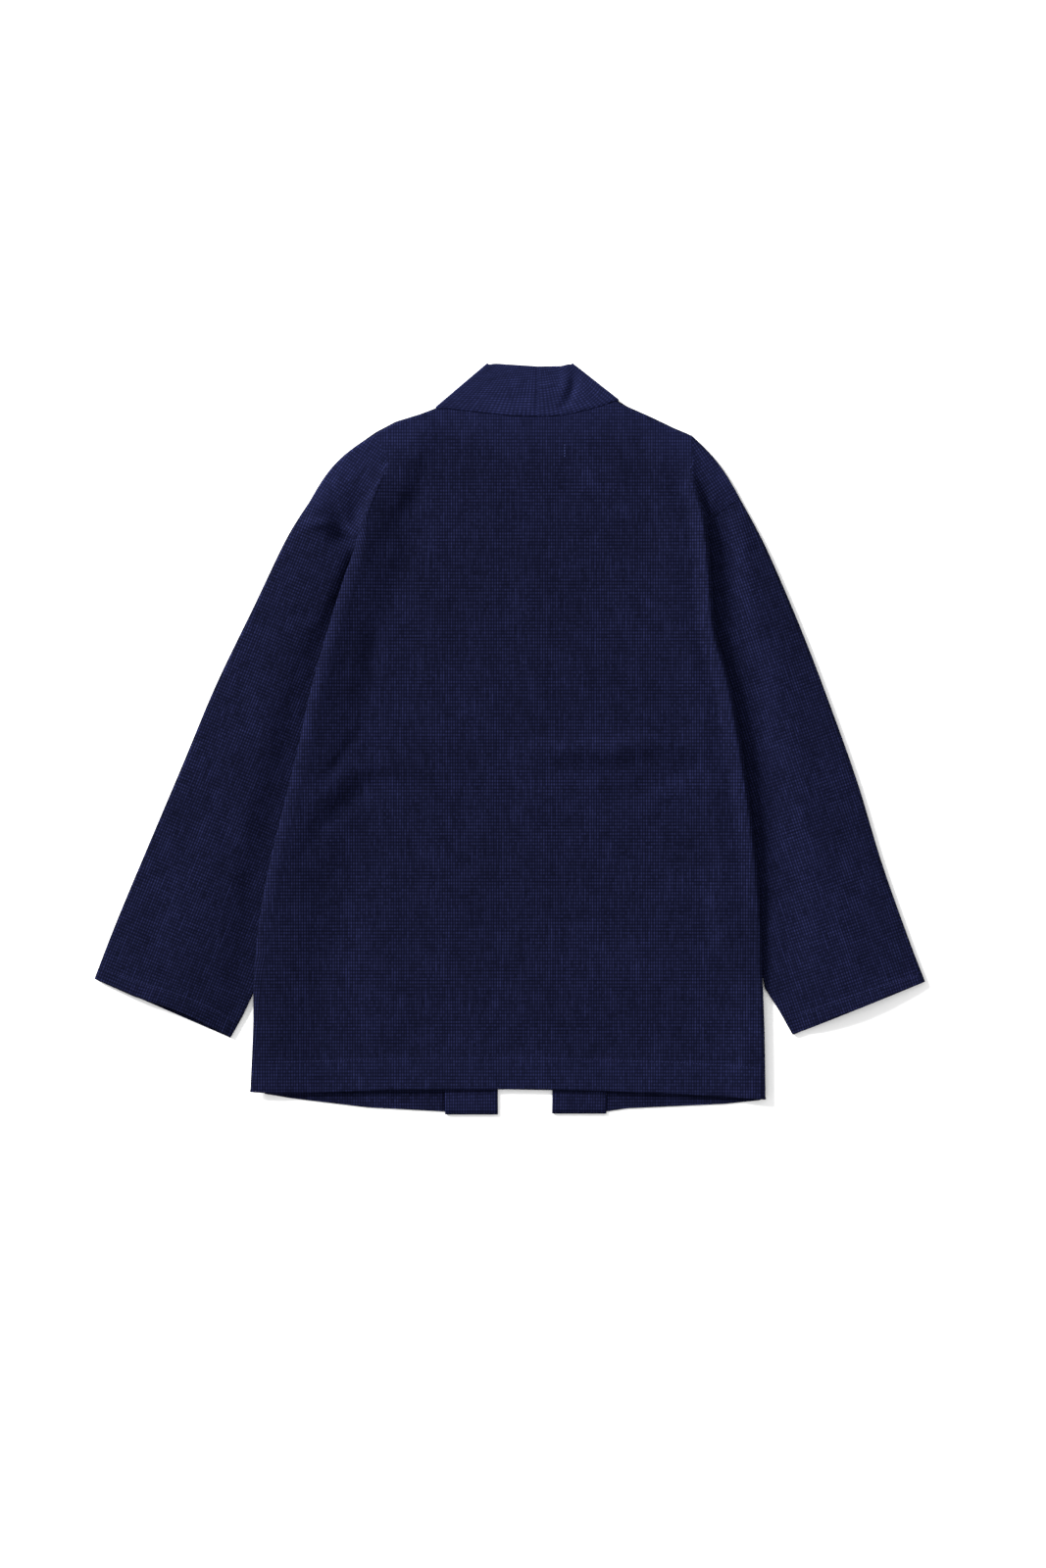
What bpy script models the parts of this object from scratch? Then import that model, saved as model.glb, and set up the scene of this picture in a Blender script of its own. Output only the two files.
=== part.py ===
"""Happi coat, laid flat with its back upward.

The coat lies on a flat surface as a stack of cloth layers: the two fronts and the neck band
below, the flattened sleeves in the middle and the back on top. The sleeves are pulled down,
so the sides of the body are folded in along a slanting edge and each sleeve comes out from
between the back and the front. All sizes below are in millimetres. X runs to the right, Y to
the collar and Z up, and the origin lies on the surface under the middle of the coat.
"""
from collections import namedtuple
from math import cos, pi, sin

import bmesh
import bpy
from mathutils import Vector

MM = 0.001

# Middle of the outline in the places below, which are taken from the middle of the body.
MIDDLE = Vector((0.5, 0.93, 0.0))

# Cloth walls and the spaces between them.
CLOTH = 1.3
BAND = 2.2
SEAM = 0.3

# Heights of the middle of each wall above the surface.
FLOOR_LEVEL = CLOTH / 2
SLEEVE_LAYERS = CLOTH + 2 * SEAM
SLEEVE_TOP_LEVEL = FLOOR_LEVEL + SLEEVE_LAYERS
BACK_TUCK_LEVEL = SLEEVE_TOP_LEVEL + CLOTH + 1.5 * SEAM
BACK_OVER_TUCK = BACK_TUCK_LEVEL + CLOTH + 2 * SEAM
SIDE_SEAM_LEVEL = FLOOR_LEVEL + CLOTH + 1.5 * SEAM
BACK_LEVEL = 3.65
BAND_LEVEL = BAND / 2
COLLAR_LEVEL = 3.95

# The back dips to the front along the shoulder, and the sleeves are rounder at their fold.
SHOULDER_DIP = 1.1
NECK_MARGIN = 14.0
NECK_GAP = 1.0
SLEEVE_FOLD_RISE = 1.5
SLEEVE_BILLOW = 3.0

# The neck band.
BAND_CENTRE = 31.0

# One row for each section of a side, from the shoulder down to the hem. The back turns at the
# ridge, runs under and ends at the seam. Turn says how far round the ridge it goes, from 0
# for hardly at all to 1 for a full fold.
Side = namedtuple("Side", "ridge_x ridge_y height turn seam_x seam_y")
LEFT_SIDE = (
    Side(-149, 333, 4.6, 0.16, -217, 261),
    Side(-141, 309, 8, 0.20, -211, 256),
    Side(-140, 276, 11.5, 0.28, -201, 248),
    Side(-156, 244, 12, 0.40, -187, 237),
    Side(-168, 210, 12.5, 0.70, -165, 210),
    Side(-182, 170, 12.5, 1.00, -158, 172),
    Side(-199, 115, 12.5, 1.00, -160, 118),
    Side(-216, 55, 12.5, 1.00, -170, 58),
    Side(-228, 0, 12.5, 1.00, -183, 0),
    Side(-245, -70, 12.5, 1.00, -206, -70),
    Side(-262, -140, 12, 1.00, -236, -138),
    Side(-272, -196, 11, 1.00, -249, -194),
    Side(-278, -255, 9, 1.00, -262, -255),
    Side(-279, -315, 8, 1.00, -269, -315),
    Side(-282, -384, 6.8, 1.00, -272, -384),
)
RIGHT_SIDE = (
    Side(200, 332, 4.6, 0.16, 251, 264),
    Side(202, 306, 8.5, 0.20, 243, 259),
    Side(204, 280, 12.5, 0.28, 235, 253),
    Side(213, 247, 14, 0.42, 222, 240),
    Side(217, 215, 15, 0.78, 207, 214),
    Side(220, 175, 15, 1.00, 198, 176),
    Side(225, 118, 15, 1.00, 190, 120),
    Side(240, 62, 15, 1.00, 200, 62),
    Side(251, 5, 15, 1.00, 212, 5),
    Side(262, -70, 15, 1.00, 226, -70),
    Side(270, -135, 14, 1.00, 244, -135),
    Side(274, -196, 12, 1.00, 250, -194),
    Side(276, -262, 9.5, 1.00, 263, -262),
    Side(278, -322, 8, 1.00, 268, -322),
    Side(279, -392, 6.8, 1.00, 269, -392),
)

# Places across the back: steps in from each ridge, then even columns between them.
RIDGE_STEPS = (0.0, 5.0, 12.0, 20.0, 30.0, 43.0, 60.0)
CENTRE_COLUMNS = 10
BACK_ROWS = 28
ROLL_STEPS = 4
FLAP_STEPS = 3
LEFT_ROLL_WIDTH = 7.0
RIGHT_ROLL_WIDTH = 4.5
ROLL_REACH = 21.0
TIGHTEST_TURN = 0.9
LEFT_BULGE = 8.5
RIGHT_BULGE = 4.5
TOP_BULGE_START = 0.8
TUCK_REACH = 36.0
HEM_TUCK_REACH = 14.0
TUCK_FADE = 30.0
SLIT_LEVEL = -215.0
SLIT_FADE = 50.0
LAST_ROW_SHARES = (0.955, 0.985, 1.0)

# The side seam closes onto the front between these two heights, softly over each length.
SEAM_CLOSED_TOP = 65.0
SEAM_CLOSED_TOP_FADE = 60.0
SEAM_CLOSED_LOW = -230.0
SEAM_CLOSED_LOW_FADE = 50.0

# Where a side is folded right under, the cloth comes down to its seam only near the end.
FULL_FOLD_START = 0.5
FULL_FOLD_FADE = 0.4
LATE_DROP_POWER = 5.0
LEAST_FOLD_DEPTH = 2.0

# Outlines seen from above.
Point = namedtuple("Point", "x y")
LEFT_SHOULDER = (
    Point(-217, 261), Point(-210, 273), Point(-194, 296), Point(-171, 318), Point(-145, 336),
    Point(-124, 347), Point(-98, 354.5), Point(-79.3, 360),
)
RIGHT_SHOULDER = (
    Point(251, 264), Point(240, 283), Point(230, 299), Point(215, 313), Point(206, 325),
    Point(197, 333), Point(180, 340), Point(155, 352), Point(129, 362), Point(118.6, 366.5),
)
NECKLINE = (
    Point(-79.3, 360), Point(-60, 359.5), Point(-27, 356), Point(2, 353), Point(31, 352.5),
    Point(57, 353.5), Point(72, 356.5), Point(87, 360), Point(103, 363.5), Point(118.6, 366.5),
)
BACK_HEM = (
    Point(-282, -384), Point(-250, -385.5), Point(-128, -382), Point(0, -381),
    Point(108, -383), Point(200, -387), Point(279, -392),
)

# The neck band lies in two strips. Each row gives a strip's two edges at one height.
BandRow = namedtuple("BandRow", "y seam_x free_x")
LEFT_BAND = (
    BandRow(-409, -69.0, -13.4), BandRow(-150, -72.0, -15.5), BandRow(110, -75.5, -19.0),
    BandRow(300, -78.0, -21.5), BandRow(411, -79.3, -24.0),
)
RIGHT_BAND = (
    BandRow(-408, 105.0, 47.6), BandRow(-150, 110.0, 53.5), BandRow(110, 114.0, 60.0),
    BandRow(300, 117.0, 65.0), BandRow(411, 118.6, 69.0),
)
LEFT_CORNER = (Point(-79.3, 363), Point(-24.0, 410))
RIGHT_CORNER = (Point(118.6, 371), Point(69.0, 410))
COLLAR_TOP = (Point(-24, 410), Point(-12, 409.5), Point(31, 406.5), Point(57, 407),
              Point(69, 410))
BAND_COLUMNS = 4
BAND_ROWS = 8
COLLAR_STEPS = 5
BAND_TURN_STEPS = 4

FRONT_LOW_ROWS = 11
FRONT_COLUMNS = 5
LEFT_FRONT_HEM = (Point(-267, -386), Point(-237, -391), Point(-154, -401), Point(-69.5, -405.5))
RIGHT_FRONT_HEM = (Point(274, -393), Point(236, -397), Point(129, -402), Point(105.5, -405.5))

# Sleeves: the fold along the arm and the underarm seam, from the body to the cuff.
ARMHOLE_END = 6.5
SLEEVE_RINGS = 18
SLEEVE_COLUMNS = 8
SLEEVE_TURN_STEPS = 4
SLOPE_REACH = 40.0
BODY_CLEARANCE = 6.0
BILLOW_START = 6.0
FOLD_RISE_START = 4.0
FOLD_RISE_SPAN = 3.0
LEFT_SLEEVE_FOLD = (
    Point(-217, 261), Point(-243, 219), Point(-279, 144), Point(-320, 59), Point(-356, -27),
    Point(-392, -112), Point(-428, -198), Point(-452, -260),
)
LEFT_UNDERARM = (
    Point(-199, 16), Point(-218, -48), Point(-246, -144), Point(-262, -210),
    Point(-279, -275), Point(-291, -301), Point(-304, -324),
)
RIGHT_SLEEVE_FOLD = (
    Point(251, 264), Point(280, 209), Point(317, 123), Point(350, 37), Point(380, -48),
    Point(406, -134), Point(436, -219), Point(453, -263),
)
RIGHT_UNDERARM = (
    Point(228, 12), Point(240, -59), Point(257, -144), Point(269, -210),
    Point(279, -271), Point(294, -294), Point(309, -321),
)

# Creases of the back: the two ends of the line, the rise of the cloth and the half width.
Crease = namedtuple("Crease", "x1 y1 x2 y2 rise half_width")
CREASES = (
    Crease(-95, -46, -175, -66, -1.5, 16),
    Crease(-175, -66, -222, -122, -1.4, 18),
    Crease(-90, -24, -180, -38, 2.8, 20),
    Crease(65, -28, 140, -22, -1.5, 15),
    Crease(75, -6, 190, -8, 2.8, 20),
    Crease(120, 90, 128, 10, 1.6, 22),
)

INDIGO = (0.010, 0.011, 0.033, 1.0)
BAND_INDIGO = (0.016, 0.019, 0.062, 1.0)


def blend(start, end, share):
    """Value part of the way from start to end."""
    return start + (end - start) * share


def ease(share):
    """Share from 0 to 1 with soft ends, held at the ends outside them."""
    share = min(1.0, max(0.0, share))
    return share * share * (3.0 - 2.0 * share)


def follow(rows, share):
    """Row part of the way through a table, on a smooth curve through all of its rows."""
    place = min(1.0, max(0.0, share)) * (len(rows) - 1)
    index = min(int(place), len(rows) - 2)
    local = place - index
    before = rows[max(index - 1, 0)]
    after = rows[min(index + 2, len(rows) - 1)]
    square = local * local
    cube = square * local
    values = []
    for a, b, c, d in zip(before, rows[index], rows[index + 1], after):
        values.append((2 * cube - 3 * square + 1) * b + (cube - 2 * square + local) * (c - a) / 2
                      + (3 * square - 2 * cube) * c + (cube - square) * (d - b) / 2)
    return type(rows[0])(*values)


def along(points, share):
    """Place part of the way along a line of points, by its length."""
    steps = [Vector(end) - Vector(start) for start, end in zip(points, points[1:])]
    left = share * sum(step.length for step in steps)
    for start, step in zip(points, steps):
        if left <= step.length:
            return Vector(start) + step * (left / step.length)
        left -= step.length
    return Vector(points[-1])


def patch(low, high, left, right, across, up):
    """Place inside four edges that meet at their corners."""
    sides = left(up).lerp(right(up), across)
    ends = low(across).lerp(high(across), up)
    corners_low = low(0.0).lerp(low(1.0), across)
    corners_high = high(0.0).lerp(high(1.0), across)
    return sides + ends - corners_low.lerp(corners_high, up)


def side_x_at(side, y):
    """X of a side's ridge at height y."""
    for upper, lower in zip(side, side[1:]):
        if y >= lower.ridge_y:
            share = max(0.0, (upper.ridge_y - y) / (upper.ridge_y - lower.ridge_y))
            return blend(upper.ridge_x, lower.ridge_x, share)
    return side[-1].ridge_x


def crease_rise(x, y):
    """How far the creases lift or lower the back at one place."""
    total = 0.0
    for crease in CREASES:
        run = Vector((crease.x2 - crease.x1, crease.y2 - crease.y1))
        place = Vector((x - crease.x1, y - crease.y1))
        share = min(1.0, max(0.0, place.dot(run) / run.length_squared))
        away = (place - run * share).length / crease.half_width
        total += crease.rise * (1.0 - ease(away))
    return total


def cloth_surface(name, grid, collection, material, thickness, closed=False):
    """Open surface through rows of points, made a cloth wall by a Solidify modifier."""
    surface = bmesh.new()
    rows = [[surface.verts.new((Vector(point) - MIDDLE) * MM) for point in row] for row in grid]
    for low, high in zip(rows, rows[1:]):
        for index in range(len(low) if closed else len(low) - 1):
            after = (index + 1) % len(low)
            surface.faces.new((low[index], low[after], high[after], high[index]))
    bmesh.ops.recalc_face_normals(surface, faces=surface.faces)
    mesh = bpy.data.meshes.new(name)
    surface.to_mesh(mesh)
    surface.free()
    mesh.materials.append(material)
    mesh.shade_smooth()
    piece = bpy.data.objects.new(name, mesh)
    collection.objects.link(piece)
    wall = piece.modifiers.new("Cloth wall", "SOLIDIFY")
    wall.thickness = thickness * MM
    wall.offset = 0.0
    wall.use_quality_normals = True
    return piece


def tuck_level(section):
    """Height of the cloth turned under at one section of a side."""
    return min(BACK_TUCK_LEVEL, section.height - LEAST_FOLD_DEPTH)


def fold_width(section, widest):
    """Distance from the ridge to the top of its fold, less where the fold is low."""
    return min(widest, ((section.height - tuck_level(section)) / 2) ** 2 / TIGHTEST_TURN)


def fold_points(section, inward, roll_width, bulge):
    """Points of one side, from the top of the fold round it and out to the seam."""
    half_height = (section.height - tuck_level(section)) / 2
    angle_end = pi / 2 + pi * section.turn
    points = []
    for step in range(1, ROLL_STEPS + 1):
        angle = blend(pi / 2, angle_end, step / ROLL_STEPS)
        points.append((
            section.ridge_x + inward * roll_width * (1.0 + cos(angle)),
            section.ridge_y,
            section.height - half_height * (1.0 - sin(angle)),
        ))
    last = points[-1]
    rounding = Vector((-inward, 1.0)).normalized() * bulge
    closing = ease((SEAM_CLOSED_TOP - section.ridge_y) / SEAM_CLOSED_TOP_FADE)
    closing *= ease((section.ridge_y - SEAM_CLOSED_LOW) / SEAM_CLOSED_LOW_FADE)
    seam_level = blend(BACK_TUCK_LEVEL, SIDE_SEAM_LEVEL, closing)
    late = blend(1.0, LATE_DROP_POWER, ease((section.turn - FULL_FOLD_START) / FULL_FOLD_FADE))
    for step in range(1, FLAP_STEPS + 1):
        share = step / FLAP_STEPS
        points.append((
            blend(last[0], section.seam_x, share) + rounding.x * sin(pi * share),
            blend(last[1], section.seam_y, share) + rounding.y * sin(pi * share),
            blend(last[2], seam_level, share ** late),
        ))
    return points


def back_height(x, left, right):
    """Height of the back between its ridges."""
    lift = 0.0
    for section, distance in ((left, x - left.ridge_x), (right, right.ridge_x - x)):
        near_hem = ease((SLIT_LEVEL - section.ridge_y) / SLIT_FADE)
        over = min(BACK_OVER_TUCK, section.height)
        reach = blend(TUCK_REACH, HEM_TUCK_REACH, near_hem)
        held = 1.0 - ease((distance - reach) / TUCK_FADE)
        roll = (section.height - over) * (1.0 - ease(distance / ROLL_REACH))
        lift = max(lift, (over - BACK_LEVEL) * held + roll)
    return BACK_LEVEL + lift


def back_columns(left_x, right_x):
    """Places across the back, close together near the ridges."""
    reach = RIDGE_STEPS[-1]
    columns = [left_x + step for step in RIDGE_STEPS]
    for index in range(1, CENTRE_COLUMNS):
        columns.append(blend(left_x + reach, right_x - reach, index / CENTRE_COLUMNS))
    return columns + [right_x - step for step in reversed(RIDGE_STEPS)]


def height_on_line(points, x):
    """Y of a line of points at x."""
    ordered = sorted(points)
    for start, end in zip(ordered, ordered[1:]):
        if x <= end.x:
            return blend(start.y, end.y, (x - start.x) / (end.x - start.x))
    return ordered[-1].y


def row_shares(rows):
    """Even shares from 0, with the last rows close together at the top edge."""
    even = rows - len(LAST_ROW_SHARES)
    return [LAST_ROW_SHARES[0] * row / even for row in range(even)] + list(LAST_ROW_SHARES)


def build_back(collection, material):
    """The back, with both of its folded sides."""
    top_line = LEFT_SHOULDER + NECKLINE[1:-1] + RIGHT_SHOULDER[::-1]
    top_columns = back_columns(LEFT_SIDE[0].ridge_x, RIGHT_SIDE[0].ridge_x)
    neck_start = LEFT_CORNER[0].x - NECK_MARGIN
    neck_end = RIGHT_CORNER[0].x + NECK_MARGIN
    grid = []
    for rise in row_shares(BACK_ROWS):
        left = follow(LEFT_SIDE, 1.0 - rise)
        right = follow(RIGHT_SIDE, 1.0 - rise)
        left_width = fold_width(left, LEFT_ROLL_WIDTH)
        right_width = fold_width(right, RIGHT_ROLL_WIDTH)
        columns = back_columns(left.ridge_x + left_width, right.ridge_x - right_width)
        middle = []
        for x, top_x in zip(columns, top_columns):
            over = (x - left.ridge_x) / (right.ridge_x - left.ridge_x)
            y = blend(left.ridge_y, right.ridge_y, over)
            top_gap = height_on_line(top_line, top_x)
            top_gap -= blend(LEFT_SIDE[0].ridge_y, RIGHT_SIDE[0].ridge_y, over)
            hem_gap = height_on_line(BACK_HEM, x)
            hem_gap -= blend(LEFT_SIDE[-1].ridge_y, RIGHT_SIDE[-1].ridge_y, over)
            y += top_gap * rise ** 3 + hem_gap * (1.0 - rise) ** 3
            z = back_height(x, left, right) + crease_rise(x, y)
            if rise == 1.0 and not neck_start < top_x < neck_end:
                z -= SHOULDER_DIP
            middle.append((x, y, z))
        near_top = ease((rise - TOP_BULGE_START) / (1.0 - TOP_BULGE_START))
        left_fold = fold_points(left, 1.0, left_width, LEFT_BULGE * near_top)
        right_fold = fold_points(right, -1.0, right_width, RIGHT_BULGE * near_top)
        grid.append(left_fold[::-1] + middle + right_fold)
    return cloth_surface("back", grid, collection, material, CLOTH)


def build_front(name, side, shoulder, hem, band, inward, collection, material):
    """One front, flat on the surface, from the armhole and side seam to the band."""
    apart = inward * 2 * SEAM
    shoulder_line = [Point(point.x + apart, point.y) for point in shoulder]

    def side_edge(up):
        section = follow(side, 1.0 - up)
        near_hem = ease((SLIT_LEVEL - section.ridge_y) / SLIT_FADE)
        hem_x = hem[0].x - section.seam_x
        return Vector((section.seam_x + apart + (hem_x - apart) * near_hem ** 2,
                       blend(section.seam_y, hem[0].y, near_hem ** 2 * (1.0 - up) ** 4)))

    def band_edge(up):
        y = blend(hem[-1].y, shoulder[-1].y, up)
        row = follow(band, (y - band[0].y) / (band[-1].y - band[0].y))
        return Vector((row.seam_x - inward * SEAM, y))

    low = [Point(*side_edge(0.0))] + list(hem[1:-1]) + [Point(*band_edge(0.0))]
    high = [Point(*side_edge(1.0))] + shoulder_line[1:-1] + [Point(*band_edge(1.0))]
    armhole_low = 1.0 - ARMHOLE_END / (len(side) - 1)
    rises = [armhole_low * row / FRONT_LOW_ROWS for row in range(FRONT_LOW_ROWS)]
    rises += [blend(armhole_low, 1.0, row / SLEEVE_COLUMNS) for row in range(SLEEVE_COLUMNS + 1)]
    grid = []
    for rise in rises:
        places = [patch(lambda share: along(low, share), lambda share: along(high, share),
                        side_edge, band_edge, column / FRONT_COLUMNS, rise)
                  for column in range(FRONT_COLUMNS + 1)]
        grid.append([(place.x, place.y, FLOOR_LEVEL) for place in places])
    return cloth_surface(name, grid, collection, material, CLOTH)


def build_band(name, rows, corner, inward, collection, material):
    """Half of the neck band: up the front, over at the corner and along to the centre."""
    outward = Vector((corner[0].y - corner[1].y, corner[1].x - corner[0].x)).normalized()
    if outward.y < 0:
        outward = -outward
    turn = (COLLAR_LEVEL - BAND_LEVEL) / 2
    columns = []
    for column in range(BAND_COLUMNS + 1):
        across = column / BAND_COLUMNS
        corner_place = Vector(corner[0]).lerp(Vector(corner[1]), across)
        line = []
        for row in range(BAND_ROWS):
            y = blend(rows[0].y, corner_place.y, row / BAND_ROWS)
            strip = follow(rows, (y - rows[0].y) / (rows[-1].y - rows[0].y))
            line.append((blend(strip.seam_x, strip.free_x, across), y, BAND_LEVEL))
        for step in range(BAND_TURN_STEPS + 1):
            angle = pi * step / BAND_TURN_STEPS
            place = corner_place - outward * turn * (1.0 - sin(angle))
            line.append((place.x, place.y, BAND_LEVEL + turn * (1.0 - cos(angle))))
        start = Vector(line[-1][:2])
        end_x = BAND_CENTRE - inward * SEAM / 2
        for step in range(1, COLLAR_STEPS + 1):
            x = blend(start.x, end_x, step / COLLAR_STEPS)
            low_y = height_on_line(NECKLINE, x) + NECK_GAP
            line.append((x, blend(low_y, height_on_line(COLLAR_TOP, x), across), COLLAR_LEVEL))
        columns.append(line)
    grid = [list(row) for row in zip(*columns)]
    return cloth_surface(name, grid, collection, material, BAND)


def build_sleeve(name, side, fold, underarm, outward, collection, material):
    """One sleeve, a flattened tube that is open at the armhole and the cuff."""
    armhole_share = ARMHOLE_END / (len(side) - 1)

    def armhole(share):
        section = follow(side, share * armhole_share)
        return Vector((section.seam_x, section.seam_y))

    inner = [Point(*armhole(1.0))] + list(underarm)
    rings = []
    for ring in range(SLEEVE_RINGS + 1):
        down = ring / SLEEVE_RINGS
        places = [patch(armhole, lambda share: along((fold[-1], underarm[-1]), share),
                        lambda share: along(fold, share), lambda share: along(inner, share),
                        column / SLEEVE_COLUMNS, down)
                  for column in range(SLEEVE_COLUMNS + 1)]
        rise = SLEEVE_FOLD_RISE * ease(FOLD_RISE_START * down)
        upper = []
        for column, place in enumerate(places):
            clear = outward * (place.x - side_x_at(side, place.y))
            share = column / SLEEVE_COLUMNS
            free = ease((clear - BODY_CLEARANCE) / SLOPE_REACH) * ease(BILLOW_START * down)
            billow = SLEEVE_BILLOW * free * sin(pi * share)
            upper.append(SLEEVE_TOP_LEVEL + billow + rise * (1.0 - ease(FOLD_RISE_SPAN * share)))
        across = (places[-1] - places[0]).normalized()
        rings.append(sleeve_ring(places, upper, across))
    return cloth_surface(name, rings, collection, material, CLOTH, closed=True)


def sleeve_ring(places, upper, across):
    """One ring of a sleeve: over its top, round the underarm, back below and round the fold."""
    ring = []
    turns = [(upper[0] - FLOOR_LEVEL) / 2, (upper[-1] - FLOOR_LEVEL) / 2]
    inset = [places[0] + across * turns[0]] + places[1:-1] + [places[-1] - across * turns[1]]
    for place, height in zip(inset, upper):
        ring.append((place.x, place.y, height))
    for step in range(1, SLEEVE_TURN_STEPS):
        angle = pi / 2 - pi * step / SLEEVE_TURN_STEPS
        place = inset[-1] + across * turns[1] * cos(angle)
        ring.append((place.x, place.y, FLOOR_LEVEL + turns[1] * (1.0 + sin(angle))))
    for place in reversed(inset):
        ring.append((place.x, place.y, FLOOR_LEVEL))
    for step in range(1, SLEEVE_TURN_STEPS):
        angle = -pi / 2 - pi * step / SLEEVE_TURN_STEPS
        place = inset[0] + across * turns[0] * cos(angle)
        ring.append((place.x, place.y, FLOOR_LEVEL + turns[0] * (1.0 + sin(angle))))
    return ring


def cloth_material(name, colour):
    """Dull cotton cloth in one colour."""
    material = bpy.data.materials.new(name)
    material.use_nodes = True
    shader = material.node_tree.nodes["Principled BSDF"]
    shader.inputs["Base Color"].default_value = colour
    shader.inputs["Roughness"].default_value = 0.9
    shader.inputs["Metallic"].default_value = 0.0
    return material


def main():
    """Build every piece of the coat."""
    for old in list(bpy.data.objects):
        bpy.data.objects.remove(old)
    coat = bpy.data.collections.new("happi_coat")
    bpy.context.scene.collection.children.link(coat)
    cloth = cloth_material("indigo_cotton", INDIGO)
    band_cloth = cloth_material("band_cotton", BAND_INDIGO)
    build_front("front_left", LEFT_SIDE, LEFT_SHOULDER, LEFT_FRONT_HEM, LEFT_BAND, 1.0,
                coat, cloth)
    build_front("front_right", RIGHT_SIDE, RIGHT_SHOULDER, RIGHT_FRONT_HEM, RIGHT_BAND, -1.0,
                coat, cloth)
    build_band("band_left", LEFT_BAND, LEFT_CORNER, 1.0, coat, band_cloth)
    build_band("band_right", RIGHT_BAND, RIGHT_CORNER, -1.0, coat, band_cloth)
    build_sleeve("sleeve_left", LEFT_SIDE, LEFT_SLEEVE_FOLD, LEFT_UNDERARM, -1.0, coat, cloth)
    build_sleeve("sleeve_right", RIGHT_SIDE, RIGHT_SLEEVE_FOLD, RIGHT_UNDERARM, 1.0,
                 coat, cloth)
    build_back(coat, cloth)


main()
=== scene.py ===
"""Looks of a happi coat that lies flat with its back upward.

Each cloth piece is a thin shell on the form of its solid, with its creases, hems and seams
placed one by one. Places and sizes are in millimetres in the coat's own frame: X to the right,
Y to the collar and Z up from the surface. Meshes are turned to metres as they are made.
"""

import logging
from dataclasses import dataclass, field
from enum import Enum
from math import cos, exp, hypot, pi, radians, sin
from typing import Sequence

import bmesh
import bpy
from mathutils import Euler, Matrix, Vector, noise


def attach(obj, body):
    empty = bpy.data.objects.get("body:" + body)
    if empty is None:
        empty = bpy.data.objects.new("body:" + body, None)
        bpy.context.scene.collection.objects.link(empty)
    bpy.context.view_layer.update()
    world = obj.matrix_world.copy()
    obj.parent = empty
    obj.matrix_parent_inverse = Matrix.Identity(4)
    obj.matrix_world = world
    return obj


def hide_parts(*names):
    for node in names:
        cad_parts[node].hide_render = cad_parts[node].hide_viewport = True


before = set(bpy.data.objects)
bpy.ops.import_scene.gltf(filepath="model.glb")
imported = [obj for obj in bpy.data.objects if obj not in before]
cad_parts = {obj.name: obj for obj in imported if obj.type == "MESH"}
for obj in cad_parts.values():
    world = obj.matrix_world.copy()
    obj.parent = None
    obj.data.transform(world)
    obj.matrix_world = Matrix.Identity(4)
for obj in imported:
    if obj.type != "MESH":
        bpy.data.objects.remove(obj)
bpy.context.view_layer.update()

MM = 0.001
LOG = logging.getLogger("happi_coat")

# The middle of the outline, in the places below, lies over the frame's origin.
MIDDLE = Vector((0.5, 0.93, 0.0))

# Wall of the cloth here, and the thicker wall of the solids.
CLOTH = 0.8
SOLID_CLOTH = 1.3
SURFACE_RISE = (SOLID_CLOTH - CLOTH) / 2

# Heights of the middle of each wall of the solids.
SLEEVE_TOP_LEVEL = 2.55
BACK_TUCK_LEVEL = 4.3
BACK_OVER_TUCK = 6.2
SIDE_SEAM_LEVEL = 2.4
BACK_LEVEL = 3.65
COLLAR_LEVEL = 3.95
BAND_LEVEL = 1.1

# Depths of the turned hems, radius of a soft edge, and how far an edge's direction is read.
HEM_DEPTH = 34.0
CUFF_HEM_DEPTH = 23.0
EDGE_TURN = 1.25
EDGE_CHORD = 6.0
SLEEVE_LENGTH = 560.0

# A hem's step lies round its stitch line, from this far below it over this much, and the
# stitches sink a groove of this half width.
HEM_STEP = (-2.0, 4.0)
HEM_GROOVE = 3.0

# The armhole seam ends this many sections down a side. Its upper share shows and is puffed up.
ARMHOLE_END = 6.5
ARMHOLE_SHOWN = 0.48
ARMHOLE_RISE = 4.0
RIGHT_ARMHOLE_RISE = 0.9

# The back never sinks below this level, where the layers under it lie.
LOWEST_BACK = 2.7
SINK_START = 1.0

# The sides are slit from this height down to the hem, over a soft start.
SLIT_LEVEL = -215.0
SLIT_FADE = 50.0

# The cloth is painted paler close below the shoulder line: much within the first depth below
# it, a little down to the second.
TOP_PALE_DEPTH = 55.0
TOP_PALENESS = 0.19
FAINT_TOP_PALE_DEPTH = 260.0
FAINT_TOP_PALENESS = 0.03

# A crease keeps this share of its height at its ends.
CREASE_END = 0.35

# Waves of worn cloth: size across and along, and height, for the broad and the narrow ones.
BROAD_WAVE = (70.0, 95.0, 0.55)
NARROW_WAVE = (26.0, 40.0, 0.22)
NARROW_SEED = 7.0

# Room between a stitch line and the cloth's outer side.
STITCH_LIFT = CLOTH / 2 + 0.05


class Arm(Enum):
    """The two sides of the coat, as seen from above."""

    LEFT = 1.0
    RIGHT = -1.0


@dataclass(frozen=True)
class FoldSection:
    """One section of a folded side of the back, from the shoulder down to the hem.

    The ridge is the outermost line of the fold, turn is how far the cloth goes round under
    itself (1 is flat under), and the seam is where the cloth turned under ends.
    """

    ridge_x: float
    ridge_y: float
    height: float
    turn: float
    seam_x: float
    seam_y: float


@dataclass(frozen=True)
class Crease:
    """A soft trough or ridge along a bent line."""

    line: tuple[tuple[float, float], ...]
    rise: float
    half_width: float
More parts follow.
